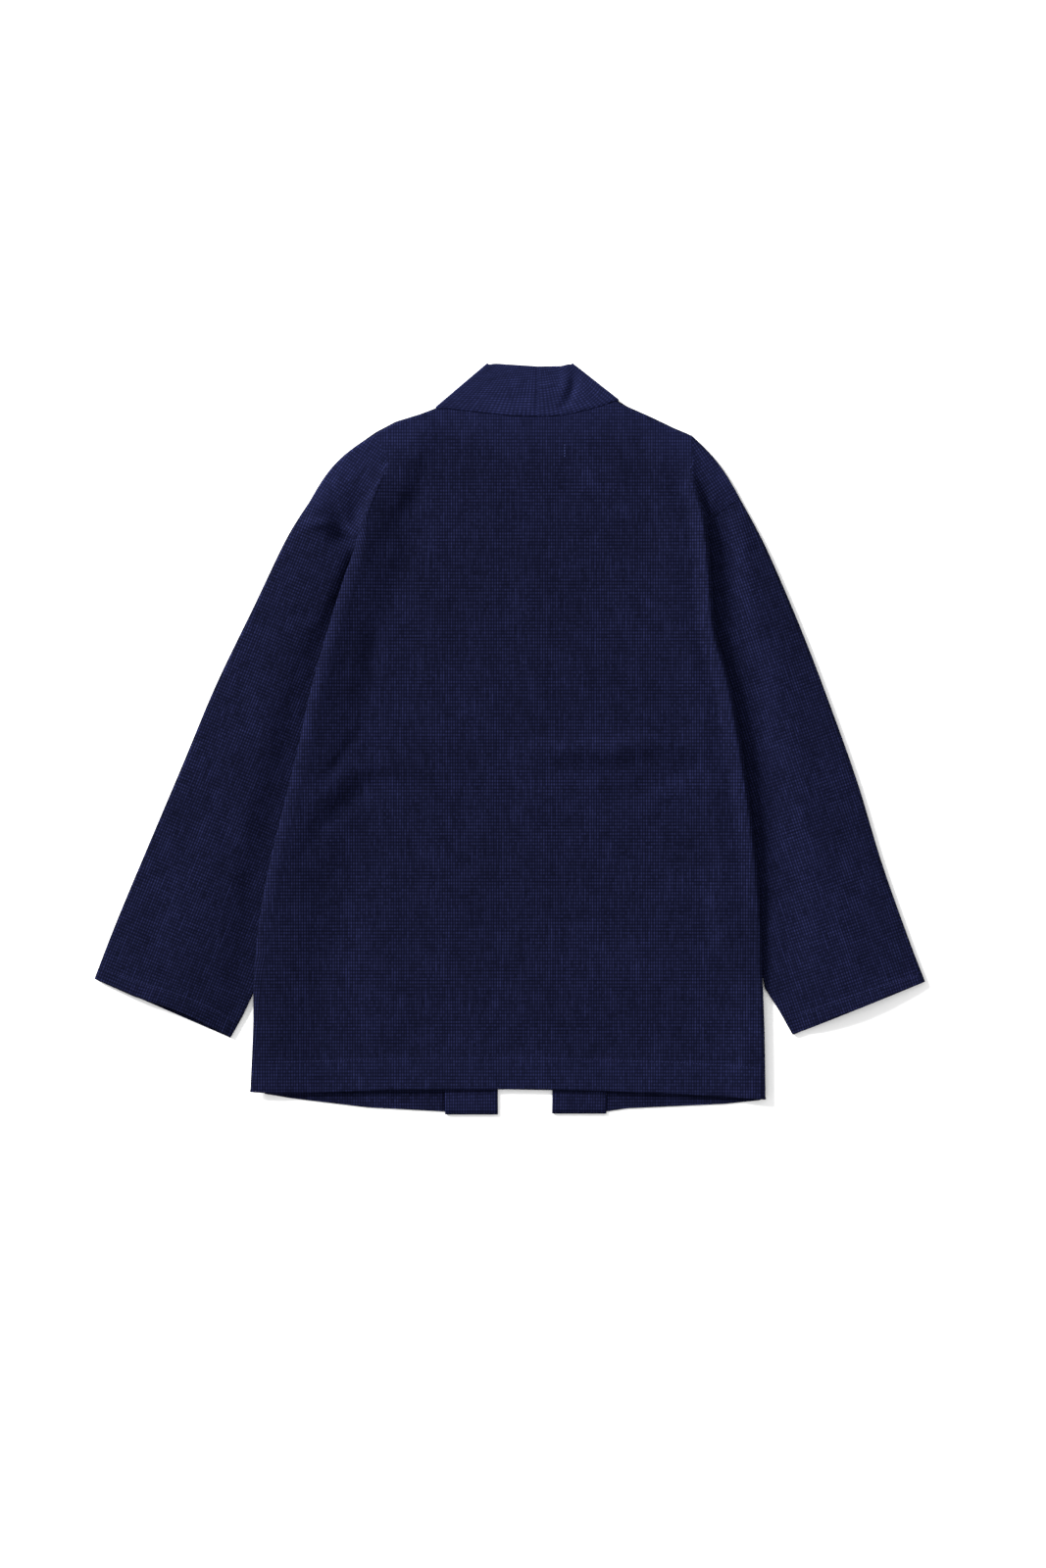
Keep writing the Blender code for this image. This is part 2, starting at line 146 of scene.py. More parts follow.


# The lines of the coat as it lies, measured along its outline, folds and seams.
LEFT_FOLD = (
    FoldSection(-148, 333, 4.6, 0.16, -217, 261),
    FoldSection(-136, 306, 7.5, 0.20, -211, 256),
    FoldSection(-148, 275, 10.5, 0.28, -201, 248),
    FoldSection(-160, 244, 12, 0.40, -187, 237),
    FoldSection(-168, 210, 12.5, 0.70, -165, 210),
    FoldSection(-182, 170, 12.5, 1.00, -158, 172),
    FoldSection(-199, 115, 12.5, 1.00, -160, 118),
    FoldSection(-216, 55, 12.5, 1.00, -170, 58),
    FoldSection(-228, 0, 12.5, 1.00, -183, 0),
    FoldSection(-245, -70, 12.5, 1.00, -206, -70),
    FoldSection(-262, -140, 12, 1.00, -236, -138),
    FoldSection(-272, -196, 11, 1.00, -249, -194),
    FoldSection(-278, -255, 9, 1.00, -262, -255),
    FoldSection(-279, -315, 8, 1.00, -269, -315),
    FoldSection(-282, -384, 6.8, 1.00, -272, -384),
)
RIGHT_FOLD = (
    FoldSection(200, 332, 4.4, 0.16, 251, 264),
    FoldSection(202, 306, 5.6, 0.20, 243, 259),
    FoldSection(204, 280, 10.5, 0.28, 235, 253),
    FoldSection(213, 247, 14, 0.42, 222, 240),
    FoldSection(217, 215, 15, 0.78, 207, 214),
    FoldSection(220, 175, 15, 1.00, 198, 176),
    FoldSection(225, 118, 15, 1.00, 190, 120),
    FoldSection(240, 62, 15, 1.00, 200, 62),
    FoldSection(251, 5, 15, 1.00, 212, 5),
    FoldSection(262, -70, 14, 1.00, 226, -70),
    FoldSection(270, -135, 11.5, 1.00, 244, -135),
    FoldSection(274, -196, 8.5, 1.00, 250, -194),
    FoldSection(276, -262, 7.4, 1.00, 263, -262),
    FoldSection(278, -322, 7, 1.00, 268, -322),
    FoldSection(279, -392, 6.8, 1.00, 269, -392),
)
LEFT_SHOULDER = (
    (-217, 261), (-210, 273), (-194, 296), (-171, 318), (-145, 336),
    (-124, 347), (-98, 355), (-87, 359), (-79.3, 362.2),
)
RIGHT_SHOULDER = (
    (251, 264), (240, 283), (230, 299), (215, 313), (206, 325),
    (197, 333), (180, 340), (155, 352), (129, 363.5), (118.6, 369.3),
)
NECKLINE = (
    (-79.3, 362.2), (-60, 360), (-27, 356), (2, 353), (31, 352.5),
    (57, 353.5), (72, 356.5), (87, 360), (103, 364.5), (118.6, 369.3),
)
BACK_HEM = (
    (-282, -384), (-250, -385.5), (-128, -382), (0, -381),
    (108, -383), (200, -387), (279, -392),
)
TOP_EDGE = LEFT_SHOULDER + NECKLINE[1:-1] + RIGHT_SHOULDER[::-1]
COLLAR_TOP = ((-24, 410), (-12, 409.5), (31, 406.5), (57, 407), (69, 410))
BAND_CENTRE = 31.0

# Each row of a band is its place along the coat, its outer edge and its inner edge.
LEFT_BAND = ((-409, -69.0, -13.4), (-150, -72.0, -15.5), (110, -75.5, -19.0),
             (300, -78.0, -21.5), (411, -79.3, -24.0))
RIGHT_BAND = ((-408, 105.0, 47.6), (-150, 110.0, 53.5), (110, 114.0, 60.0),
              (300, 117.0, 65.0), (411, 118.6, 69.0))
LEFT_CORNER = ((-79.3, 363), (-24.0, 410))
RIGHT_CORNER = ((118.6, 371), (69.0, 410))
LEFT_FRONT_HEM = ((-267, -386), (-237, -391), (-154, -401), (-69.5, -405.5))
RIGHT_FRONT_HEM = ((274, -393), (236, -397), (129, -402), (105.5, -405.5))
LEFT_SLEEVE_FOLD = (
    (-217, 261), (-243, 219), (-279, 144), (-320, 59), (-356, -27),
    (-392, -112), (-428, -198), (-452, -260),
)
LEFT_UNDERARM = (
    (-199, 16), (-218, -48), (-246, -144), (-262, -210), (-279, -275), (-291, -301), (-304, -324),
)
RIGHT_SLEEVE_FOLD = (
    (251, 264), (280, 209), (317, 123), (350, 37), (380, -48),
    (406, -134), (436, -219), (453, -263),
)
RIGHT_UNDERARM = (
    (228, 12), (240, -59), (257, -144), (269, -210), (279, -271), (294, -294), (309, -321),
)


@dataclass(frozen=True)
class CoatSide:
    """The lines of one side of the coat, as it lies."""

    fold: tuple[FoldSection, ...]
    shoulder: tuple[tuple[float, float], ...]
    band: tuple[tuple[float, float, float], ...]
    corner: tuple[tuple[float, float], ...]
    front_hem: tuple[tuple[float, float], ...]
    sleeve_fold: tuple[tuple[float, float], ...]
    underarm: tuple[tuple[float, float], ...]


SIDES = {
    Arm.LEFT: CoatSide(LEFT_FOLD, LEFT_SHOULDER, LEFT_BAND, LEFT_CORNER, LEFT_FRONT_HEM,
                       LEFT_SLEEVE_FOLD, LEFT_UNDERARM),
    Arm.RIGHT: CoatSide(RIGHT_FOLD, RIGHT_SHOULDER, RIGHT_BAND, RIGHT_CORNER, RIGHT_FRONT_HEM,
                        RIGHT_SLEEVE_FOLD, RIGHT_UNDERARM),
}

# Where the collar is sewn to the back, and the numbers that give each piece its own waves.
NECK_SEAM = (-80.0, 119.5)
BACK_SEED = 3.0
FRONT_SEED = 11.0
BAND_SEED = 21.0
SLEEVE_SEED = 31.0


def blend(start: float, end: float, share: float) -> float:
    """Gives the value part of the way from start to end."""
    return start + (end - start) * share


def ease(share: float) -> float:
    """Gives a share from 0 to 1 with soft ends, held at 0 and 1 outside them."""
    share = min(1.0, max(0.0, share))
    return share * share * (3.0 - 2.0 * share)


def ramp(value: float, span: tuple[float, float]) -> float:
    """Gives how far a value is through a span, softly; the span is its start and its length."""
    return ease((value - span[0]) / span[1])


def smooth_row(rows: Sequence[Sequence[float]], share: float) -> list[float]:
    """Reads a table part of the way down, on a smooth curve through all of its rows.

    Args:
        rows: Rows of numbers with the same columns.
        share: 0 at the first row and 1 at the last.

    Returns:
        The numbers of the row at that place.
    """
    place = min(1.0, max(0.0, share)) * (len(rows) - 1)
    index = min(int(place), len(rows) - 2)
    local = place - index
    square = local * local
    cube = square * local
    before = rows[max(index - 1, 0)]
    after = rows[min(index + 2, len(rows) - 1)]
    return [
        (2 * cube - 3 * square + 1) * b + (cube - 2 * square + local) * (c - a) / 2
        + (3 * square - 2 * cube) * c + (cube - square) * (d - b) / 2
        for a, b, c, d in zip(before, rows[index], rows[index + 1], after)
    ]


def fold_at(side: Sequence[FoldSection], share: float) -> FoldSection:
    """Gives the section of a side part of the way from the shoulder (0) to the hem (1)."""
    rows = [(s.ridge_x, s.ridge_y, s.height, s.turn, s.seam_x, s.seam_y) for s in side]
    return FoldSection(*smooth_row(rows, share))


def height_on_line(points: Sequence[tuple[float, float]], x: float) -> float:
    """Reads the y of a line of points at one x.

    Args:
        points: The line's places, in any order.
        x: Where to read it.

    Returns:
        The y there, held at the line's ends.
    """
    ordered = sorted(points)
    if x <= ordered[0][0]:
        return ordered[0][1]
    for start, end in zip(ordered, ordered[1:]):
        if x <= end[0]:
            return blend(start[1], end[1], (x - start[0]) / (end[0] - start[0]))
    return ordered[-1][1]


def along(points: Sequence[Sequence[float]], share: float) -> Vector:
    """Finds the place part of the way along a line of points, by its length.

    Args:
        points: The line's places in order.
        share: 0 at its start and 1 at its end.

    Returns:
        The place.
    """
    places = [Vector(point) for point in points]
    steps = [end - start for start, end in zip(places, places[1:])]
    left = share * sum(step.length for step in steps)
    for start, step in zip(places, steps):
        if left <= step.length:
            return start + step * (left / max(step.length, 1e-9))
        left -= step.length
    return places[-1]


def rounded_line(points: Sequence[Sequence[float]], share: float) -> Vector:
    """Gives the place part of the way along a smooth curve through points."""
    return Vector(smooth_row([tuple(point) for point in points], share))


def ridge_x_at(side: Sequence[FoldSection], y: float) -> float:
    """Reads where a folded side's ridge is at one height.

    Args:
        side: The side's sections from the shoulder down.
        y: The height on the coat.

    Returns:
        The ridge's x.
    """
    for upper, lower in zip(side, side[1:]):
        if y >= lower.ridge_y:
            share = max(0.0, (upper.ridge_y - y) / (upper.ridge_y - lower.ridge_y))
            return blend(upper.ridge_x, lower.ridge_x, share)
    return side[-1].ridge_x


def crease_rise(creases: Sequence[Crease], x: float, y: float) -> float:
    """Tells how far some creases lift or lower the cloth at one place.

    Args:
        creases: The creases of a piece.
        x: Place across the coat.
        y: Place along the coat.

    Returns:
        The rise, which is below 0 in a trough.
    """
    total = 0.0
    here = Vector((x, y))
    for crease in creases:
        nearest = 1e9
        share_along = 0.0
        points = [Vector(point) for point in crease.line]
        for index, (start, end) in enumerate(zip(points, points[1:])):
            run = end - start
            share = min(1.0, max(0.0, (here - start).dot(run) / run.length_squared))
            away = (here - start - run * share).length
            if away < nearest:
                nearest = away
                share_along = (index + share) / (len(points) - 1)
        if nearest < crease.half_width:
            taper = CREASE_END + (1.0 - CREASE_END) * sin(pi * share_along)
            total += crease.rise * taper * (1.0 - ease(nearest / crease.half_width))
    return total


def hem_profile(past: float, rise: float, groove: float) -> float:
    """Gives the height of a doubled hem and its stitch groove, this far past the stitches."""
    step = rise * (1.0 - ramp(past, HEM_STEP))
    return step - groove * (1.0 - ease(abs(past) / HEM_GROOVE))


def unevenness(x: float, y: float, seed: float) -> float:
    """Gives the slight waves of cloth that has been used and smoothed out by hand.

    Args:
        x: Place across the coat.
        y: Place along the coat.
        seed: A number that gives each piece its own waves.

    Returns:
        The rise at that place.
    """
    total = 0.0
    for wave, own in ((BROAD_WAVE, seed), (NARROW_WAVE, seed + NARROW_SEED)):
        across, lengthwise, height = wave
        total += height * noise.noise(Vector((x / across, y / lengthwise, own)))
    return total


def linear_colour(code: str) -> tuple[float, float, float, float]:
    """Turns an sRGB hex colour to the linear colour that shaders take.

    Args:
        code: The colour as a hash sign and six hex digits.

    Returns:
        Linear red, green and blue, and an alpha of 1.
    """
    parts = [int(code[index:index + 2], 16) / 255.0 for index in (1, 3, 5)]
    red, green, blue = (
        part / 12.92 if part <= 0.04045 else ((part + 0.055) / 1.055) ** 2.4 for part in parts
    )
    return (red, green, blue, 1.0)


def add_node(
    material: bpy.types.Material, kind: str, settings: dict[str, object],
    links: dict[str | int, bpy.types.NodeSocket | float | tuple],
) -> bpy.types.Node:
    """Adds one shader node.

    Args:
        material: The material that gets the node.
        kind: The node's type name.
        settings: Values of the node's own properties.
        links: For each input, a socket to link from or a value to set.

    Returns:
        The new node.
    """
    node = material.node_tree.nodes.new(kind)
    for name, value in settings.items():
        setattr(node, name, value)
    for name, value in links.items():
        if isinstance(value, bpy.types.NodeSocket):
            material.node_tree.links.new(value, node.inputs[name])
        else:
            node.inputs[name].default_value = value
    return node


@dataclass(frozen=True)
class DobbyCotton:
    """Thick cotton dyed dark indigo, woven in a small dotted check.

    The dots are raised and vary with the slubs of the yarn, so from a distance the cloth looks
    like dark denim with fine vertical streaks. Their paler colour is partly painted highlight, for
    the light that the raised dots catch more than the ground. It is matt, with a faint bluish
    sheen of fibre ends. Each point's paler-tone value mixes in a paler tone: painted sheen on the
    collar and the left shoulder, a painted highlight along the sleeves' top folds, and a plain
    paler tone near the shoulder line, along the hem, on the band's strip and over the right
    sleeve.
    """

    name: str
    slot: str
    ground: str = "#040511"
    # The weave's paler colour: partly the yarn's own slubs and streaks, partly painted highlight
    # on the raised dots.
    dots: str = "#2b2f59"
    # Paler tone mixed in at each point: partly painted sheen and painted highlight, partly a plain
    # paler tone.
    pale_and_sheen_tone: str = "#2f3564"
    sheen_tint: str = "#5b66a0"
    # Millimetres of one cell of the check, across and along the cloth.
    check_across: float = 2.8
    check_along: float = 3.6
    threads_in_cell: float = 4.0
    # Cells of noise in each millimetre, across and along the cloth, then the part of the
    # noise's range that is used with the most it gives, and the weakest and strongest dot.
    warp_slubs: tuple[float, float] = (0.38, 0.030)
    weft_slubs: tuple[float, float] = (0.034, 0.30)
    patches: tuple[float, float] = (0.060, 0.050)
    dye_clouds: tuple[float, float] = (0.016, 0.011)
    noise_span: tuple[float, float, float] = (0.28, 0.72, 1.15)
    dot_span: tuple[float, float] = (0.45, 1.5)
    # How much each part of the weave adds, how even the dye is, and the relief in metres.
    dot_share: float = 0.41
    warp_share: float = 0.37
    weft_share: float = 0.11
    cloud_share: float = 0.20
    even_share: float = 0.49
    pale_and_sheen_thread_share: float = 0.75
    thread_relief: float = 0.3
    relief_strength: float = 0.55
    relief_depth: float = 0.0004
    roughness: float = 0.86
    specular: float = 0.02
    sheen: float = 0.10
    sheen_roughness: float = 0.30

    def material(self) -> bpy.types.Material:
        """Builds the cotton's material.

        Returns:
            The material, which reads the cut cloth's UV map and the painted paleness and sheen.
        """
        made = bpy.data.materials.new(self.name)
        made.use_nodes = True
        links = made.node_tree.links
        parts = self.patterns(made)
        for result, operation, first, second in self.sums():
            node = add_node(made, "ShaderNodeMath", {"operation": operation}, {
                0: parts.get(first, first), 1: parts.get(second, second),
            })
            parts[result] = node.outputs[0]
        dyed = add_node(made, "ShaderNodeMix", {"data_type": "RGBA"}, {
            0: parts["pale"], 6: linear_colour(self.ground), 7: linear_colour(self.dots),
        })
        colour = add_node(made, "ShaderNodeMix", {"data_type": "RGBA"}, {
            0: parts["pale_and_sheen_tone"], 6: dyed.outputs[2], 7: linear_colour(self.pale_and_sheen_tone),
        })
        bump = add_node(made, "ShaderNodeBump", {}, {
            "Strength": self.relief_strength, "Distance": self.relief_depth,
            "Height": parts["relief"],
        })
        shader = made.node_tree.nodes["Principled BSDF"]
        links.new(colour.outputs[2], shader.inputs["Base Color"])
        links.new(bump.outputs[0], shader.inputs["Normal"])
        shader.inputs["Roughness"].default_value = self.roughness
        shader.inputs["Specular IOR Level"].default_value = self.specular
        shader.inputs["Sheen Weight"].default_value = self.sheen
        shader.inputs["Sheen Roughness"].default_value = self.sheen_roughness
        shader.inputs["Sheen Tint"].default_value = linear_colour(self.sheen_tint)
        return made

    def patterns(self, made: bpy.types.Material) -> dict[str | float, bpy.types.NodeSocket]:
        """Adds the nodes that read the check, slubs, clouds and painted paleness and sheen.

        Args:
            made: The material that gets the nodes.

        Returns:
            The output of each pattern, by name.
        """
        uv = add_node(made, "ShaderNodeUVMap", {"uv_map": "cloth"}, {})
        check = add_node(made, "ShaderNodeMapping", {}, {
            0: uv.outputs[0],
            "Scale": (1.0 / (self.check_across * MM), 1.0 / (self.check_along * MM), 0.0),
        })
        split = add_node(made, "ShaderNodeSeparateXYZ", {}, {0: check.outputs[0]})
        cell = add_node(made, "ShaderNodeVectorMath", {"operation": "FLOOR"}, {
            0: check.outputs[0],
        })
        white = add_node(made, "ShaderNodeTexWhiteNoise", {"noise_dimensions": "2D"}, {
            "Vector": cell.outputs[0],
        })
        dots = add_node(made, "ShaderNodeMapRange", {}, {
            0: white.outputs[0], 3: self.dot_span[0], 4: self.dot_span[1],
        })
        # Each point's share of paler tone, painted sheen included.
        pale_and_sheen = add_node(made, "ShaderNodeAttribute", {"attribute_name": "pale_and_sheen"}, {})
        parts = {"across": split.outputs[0], "along": split.outputs[1],
                 "each dot": dots.outputs[0], "pale_and_sheen": pale_and_sheen.outputs["Fac"]}
        low, high, most = self.noise_span
        for name, per_mm in (("ends", self.warp_slubs), ("picks", self.weft_slubs),
                             ("patch", self.patches), ("clouds", self.dye_clouds)):
            drawn = add_node(made, "ShaderNodeMapping", {}, {
                0: uv.outputs[0], "Scale": (per_mm[0] / MM, per_mm[1] / MM, 1.0 / MM),
            })
            texture = add_node(made, "ShaderNodeTexNoise", {}, {
                "Vector": drawn.outputs[0], "Scale": 1.0, "Detail": 2.0,
            })
            spread = add_node(made, "ShaderNodeMapRange", {}, {
                0: texture.outputs["Fac"], 1: low, 2: high, 3: 0.0, 4: most,
            })
            parts[name] = spread.outputs[0]
        return parts

    def sums(self) -> list[tuple[str, str, str | float, str | float]]:
        """Lists the sums of the weave in order.

        Returns:
            For each sum its result's name, its operation and its two values, which are names of
            patterns or earlier results, or numbers.
        """
        waves = []
        for name, source, count in (
            ("warp", "across", 1.0), ("weft", "along", 1.0),
            ("warp threads", "across", self.threads_in_cell),
            ("weft threads", "along", self.threads_in_cell),
        ):
            waves += [
                (f"{name} angle", "MULTIPLY", source, pi * count),
                (f"{name} sine", "SINE", f"{name} angle", 0.0),
                (name, "MULTIPLY", f"{name} sine", f"{name} sine"),
            ]
        return waves + [
            ("dot", "MULTIPLY", "warp", "weft"),
            ("other patch", "SUBTRACT", self.noise_span[2], "patch"),
            ("warp slubs", "MULTIPLY", "warp", "ends"),
            ("upright", "MULTIPLY", "warp slubs", "patch"),
            ("weft slubs", "MULTIPLY", "weft", "picks"),
            ("level", "MULTIPLY", "weft slubs", "other patch"),
            ("bright dots", "MULTIPLY", "dot", "each dot"),
            ("dot part", "MULTIPLY", "bright dots", self.dot_share),
            ("warp part", "MULTIPLY", "upright", self.warp_share),
            ("weft part", "MULTIPLY", "level", self.weft_share),
            ("dots and warp", "ADD", "dot part", "warp part"),
            ("weave", "ADD", "dots and warp", "weft part"),
            ("cloudy", "MULTIPLY", "clouds", self.cloud_share),
            ("dye", "ADD", "cloudy", self.even_share),
            ("pale", "MULTIPLY", "weave", "dye"),
            # The paler tone and painted sheen show most on the paler threads.
            ("pale threads", "MULTIPLY", "pale", self.pale_and_sheen_thread_share),
            ("worn threads", "ADD", "pale threads", 1.0 - self.pale_and_sheen_thread_share),
            ("pale_and_sheen_tone", "MULTIPLY", "pale_and_sheen", "worn threads"),
            ("threads", "MAXIMUM", "warp threads", "weft threads"),
            ("high dots", "MULTIPLY", "dot", 1.0 - self.thread_relief),
            ("high threads", "MULTIPLY", "threads", self.thread_relief),
            ("relief", "ADD", "high dots", "high threads"),
        ]


@dataclass(frozen=True)
class SewingThread:
    """Spun polyester sewing thread: twisted, so it glints a little unevenly along its length."""

    name: str
    slot: str
    colour: str
    glint_scale: float = 1600.0
    shade_span: tuple[float, float] = (0.7, 1.3)
    roughness: float = 0.8
    specular: float = 0.1

    def material(self) -> bpy.types.Material:
        """Builds the thread's material.

        Returns:
            The material, with a fine mottle of painted glint along the twisted thread.
        """
        made = bpy.data.materials.new(self.name)
        made.use_nodes = True
        place = add_node(made, "ShaderNodeTexCoord", {}, {})
        # Painted glint: the colour is mottled lighter and darker along the thread.
        twist = add_node(made, "ShaderNodeTexNoise", {}, {
            "Vector": place.outputs["Object"], "Scale": self.glint_scale,
        })
        shade = add_node(made, "ShaderNodeMapRange", {}, {
            0: twist.outputs["Fac"], 3: self.shade_span[0], 4: self.shade_span[1],
        })
        colour = add_node(made, "ShaderNodeMix", {"data_type": "RGBA", "blend_type": "MULTIPLY"}, {
            0: 1.0, 6: linear_colour(self.colour), 7: shade.outputs[0],
        })
        shader = made.node_tree.nodes["Principled BSDF"]
        made.node_tree.links.new(colour.outputs[2], shader.inputs["Base Color"])
        shader.inputs["Roughness"].default_value = self.roughness
        shader.inputs["Specular IOR Level"].default_value = self.specular
        return made


@dataclass(frozen=True)
class PaleFloor:
    """Matt white paper, which takes soft shadows and gives no glint."""

    name: str = "Pale floor"
    colour: str = "#fbfbfb"
    roughness: float = 0.9

    def material(self) -> bpy.types.Material:
        """Builds the floor's material.

        Returns:
            The material.
        """
        made = bpy.data.materials.new(self.name)
        made.use_nodes = True
        shader = made.node_tree.nodes["Principled BSDF"]
        shader.inputs["Base Color"].default_value = linear_colour(self.colour)
        shader.inputs["Roughness"].default_value = self.roughness
        return made


def finished_object(name: str, surface: bmesh.types.BMesh,
                    material: bpy.types.Material) -> bpy.types.Object:
    """Turns a built surface to an object of the scene, and frees the surface.

    Args:
        name: The object's name.
        surface: Its faces.
        material: Its finish.

    Returns:
        The object, at the origin and unturned.
    """
    mesh = bpy.data.meshes.new(name)
    surface.to_mesh(mesh)
    surface.free()
    mesh.shade_smooth()
    mesh.materials.append(material)
    made = bpy.data.objects.new(name, mesh)
    bpy.context.scene.collection.objects.link(made)
    return made


@dataclass(frozen=True)
class ClothPoint:
    """One point of a cloth surface: its place, its place on the cut cloth, its painted paleness
    and sheen.
    """

    place: Vector
    cut: tuple[float, float]
    pale_and_sheen: float = 0.0


ClothGrid = list[list[ClothPoint]]


def edge_direction(edge: list[ClothPoint], inner: list[ClothPoint], index: int) -> Vector:
    """Finds the level way out of the cloth at one point of its edge.

    Args:
        edge: The edge row.
        inner: The row beside it.
        index: The point's place in the edge row.

    Returns:
        A direction of length 1.
    """
    here = edge[index].place.to_2d()
    low = index
    while low > 0 and (edge[low].place.to_2d() - here).length < EDGE_CHORD:
        low -= 1
    high = index
    while high < len(edge) - 1 and (edge[high].place.to_2d() - here).length < EDGE_CHORD:
        high += 1
    run = (edge[high].place - edge[low].place).to_2d()
    way = Vector((-run.y, run.x)).normalized()
    if way.dot((edge[index].place - inner[index].place).to_2d()) < 0:
        way = -way
    return way.to_3d()


def turned_edge(edge: list[ClothPoint], inner: list[ClothPoint], drop: Sequence[float],
                steps: int = 4) -> ClothGrid:
    """Rows that carry an edge round through a quarter turn.

    Args:
        edge: The edge row, which moves in to make room for the turn.
        inner: The row beside it.
        drop: Radius of the turn at each point, above 0 downwards and below 0 upwards.
        steps: How many rows make the turn.

    Returns:
        The edge row in its new place, and the rows past it.
    """
    ways = [edge_direction(edge, inner, index) for index in range(len(edge))]
    rows = []
    for step in range(steps + 1):
        angle = pi / 2 * step / steps
        row = []
        for point, way, radius in zip(edge, ways, drop):
            reach = abs(radius)
            place = point.place - way * reach * (1.0 - sin(angle))
            place = place - Vector((0.0, 0.0, radius * (1.0 - cos(angle))))
            cut = (point.cut[0], point.cut[1] + reach * step / steps)
            row.append(ClothPoint(place, cut, point.pale_and_sheen))
        rows.append(row)
    return rows


@dataclass
class ClothPiece:
    """A piece of cloth that is laid over its solid as one thin shell."""

    name: str
    slot: str
    flat: tuple[float, float]
    area: float | None = None
    held: str = "laid"
    rests_on: tuple[str, ...] = ()
    closed: bool = False
    grid: ClothGrid = field(default_factory=list)

    def rows(self) -> ClothGrid:
        """Gives the piece's points row by row, as each kind of piece does for itself."""
        raise NotImplementedError

    def build(self, material: bpy.types.Material) -> bpy.types.Object:
        """Makes the shell and names it as a sheet of cloth.

        Args:
            material: The cloth's finish.

        Returns:
            The finished object.
        """
        self.grid = self.rows()
        columns = len(self.grid[0])
        surface = bmesh.new()
        bmesh.ops.create_grid(surface, x_segments=columns - 1, y_segments=len(self.grid) - 1,
                              size=0.5)
        cut_layer = surface.loops.layers.uv.new("cloth")
        # Each point's share of paler tone and painted sheen.
        pale_and_sheen_layer = surface.verts.layers.float.new("pale_and_sheen")
        points = {}
        for vertex in surface.verts:
            column = round((vertex.co.x + 0.5) * (columns - 1))
            row = round((vertex.co.y + 0.5) * (len(self.grid) - 1))
            points[vertex] = self.grid[row][column]
        for face in surface.faces:
            for loop in face.loops:
                loop[cut_layer].uv = Vector(points[loop.vert].cut) * MM
        for vertex, point in points.items():
            vertex.co = (point.place - MIDDLE) * MM
            vertex[pale_and_sheen_layer] = point.pale_and_sheen
        if self.closed:
            bmesh.ops.remove_doubles(surface, verts=surface.verts, dist=1e-6)
        bmesh.ops.recalc_face_normals(surface, faces=surface.faces)
        piece = finished_object(f"{self.name}_cloth", surface, material)
        wall = piece.modifiers.new("Cloth wall", "SOLIDIFY")
        wall.thickness = CLOTH * MM
        wall.offset = 0.0
        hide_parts(self.name)
        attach(piece, "root")
        LOG.info("%s: %d by %d points", self.name, columns, len(self.grid))
        return piece

    def declare(self, piece: bpy.types.Object, sewing: Sequence[bpy.types.Object]) -> None:
        """Takes the piece and its sewing, and does nothing with them."""


def armhole_lift(share: float, arm: Arm) -> float:
    """Tells how far the armhole seam stands up, from the shoulder (0) to the underarm (1).

    Args:
        share: Place along the seam.
        arm: The side; the right seam lies flatter in the photo.

    Returns:
        The rise in millimetres.
    """
    most = ARMHOLE_RISE if arm is Arm.LEFT else RIGHT_ARMHOLE_RISE
    return most * sin(pi * min(1.0, max(0.0, share / ARMHOLE_SHOWN)))


def paleness_below_top(x: float, y: float) -> float:
    """Tells how much paler the cloth is painted close below the shoulder line.

    Args:
        x: Place across the coat.
        y: Place up the coat.

    Returns:
        The paleness to add.
    """
    below = height_on_line(TOP_EDGE, x) - y
    pale_and_sheen_tone = TOP_PALENESS * (1.0 - ease(below / TOP_PALE_DEPTH))
    return pale_and_sheen_tone + FAINT_TOP_PALENESS * (1.0 - ease(below / FAINT_TOP_PALE_DEPTH))


BACK_CREASES = (
    Crease(((-92, -50), (-146, -48), (-176, -69), (-206, -97), (-222, -125)), -2.3, 18),
    Crease(((-96, -30), (-150, -25), (-182, -42), (-212, -66)), 1.7, 19),
    Crease(((-164, 9), (-203, -48)), -1.4, 10),
    Crease(((-92, 40), (-118, 40), (-146, 66), (-150, 122)), -1.2, 18),
    Crease(((-102, 296), (-100, 268), (-120, 240), (-142, 196)), -1.6, 17),
    Crease(((34, -33), (60, -36), (104, -36), (142, -30)), -1.6, 14),
    Crease(((30, -8), (60, -11), (110, -11), (150, -5), (206, -7)), 4.0, 19),
    Crease(((110, -64), (160, -46), (200, -32), (236, -40)), -2.8, 16),
    Crease(((-98, -18), (-60, -30), (-42, -34)), -0.7, 10),
    Crease(((2, -50), (12, -62), (4, -76)), -0.9, 12),
    Crease(((38, -28), (46, -48), (40, -60)), -0.8, 10),
    Crease(((172, 144), (206, 112)), -0.9, 8),
    Crease(((174, 146), (192, 128)), 0.9, 10),
    Crease(((188, 38), (214, 6)), -1.0, 9),
    Crease(((196, 60), (222, 30)), 1.0, 10),
    Crease(((122, 88), (126, 40), (124, 14)), -0.8, 14),
    Crease(((218, -150), (228, -190)), 0.8, 18),
    Crease(((-246, -112), (-205, -150), (-190, -190)), -0.8, 16),
    Crease(((-180, -130), (-120, -180)), -0.6, 20),
    Crease(((-94, 316), (-92, 290)), -0.6, 10),
    Crease(((-225, -235), (-160, -262), (-90, -258)), 0.6, 22),
    Crease(((60, -180), (130, -214), (190, -208)), -0.6, 20),
    Crease(((20, 220), (34, 140), (26, 70)), 0.5, 24),
    Crease(((267, -180), (267, -352)), -0.55, 3.2),
    Crease(((-268, -180), (-272, -350)), -0.55, 3.2),
    Crease(((-60, 180), (-52, 90)), -0.5, 22),
)


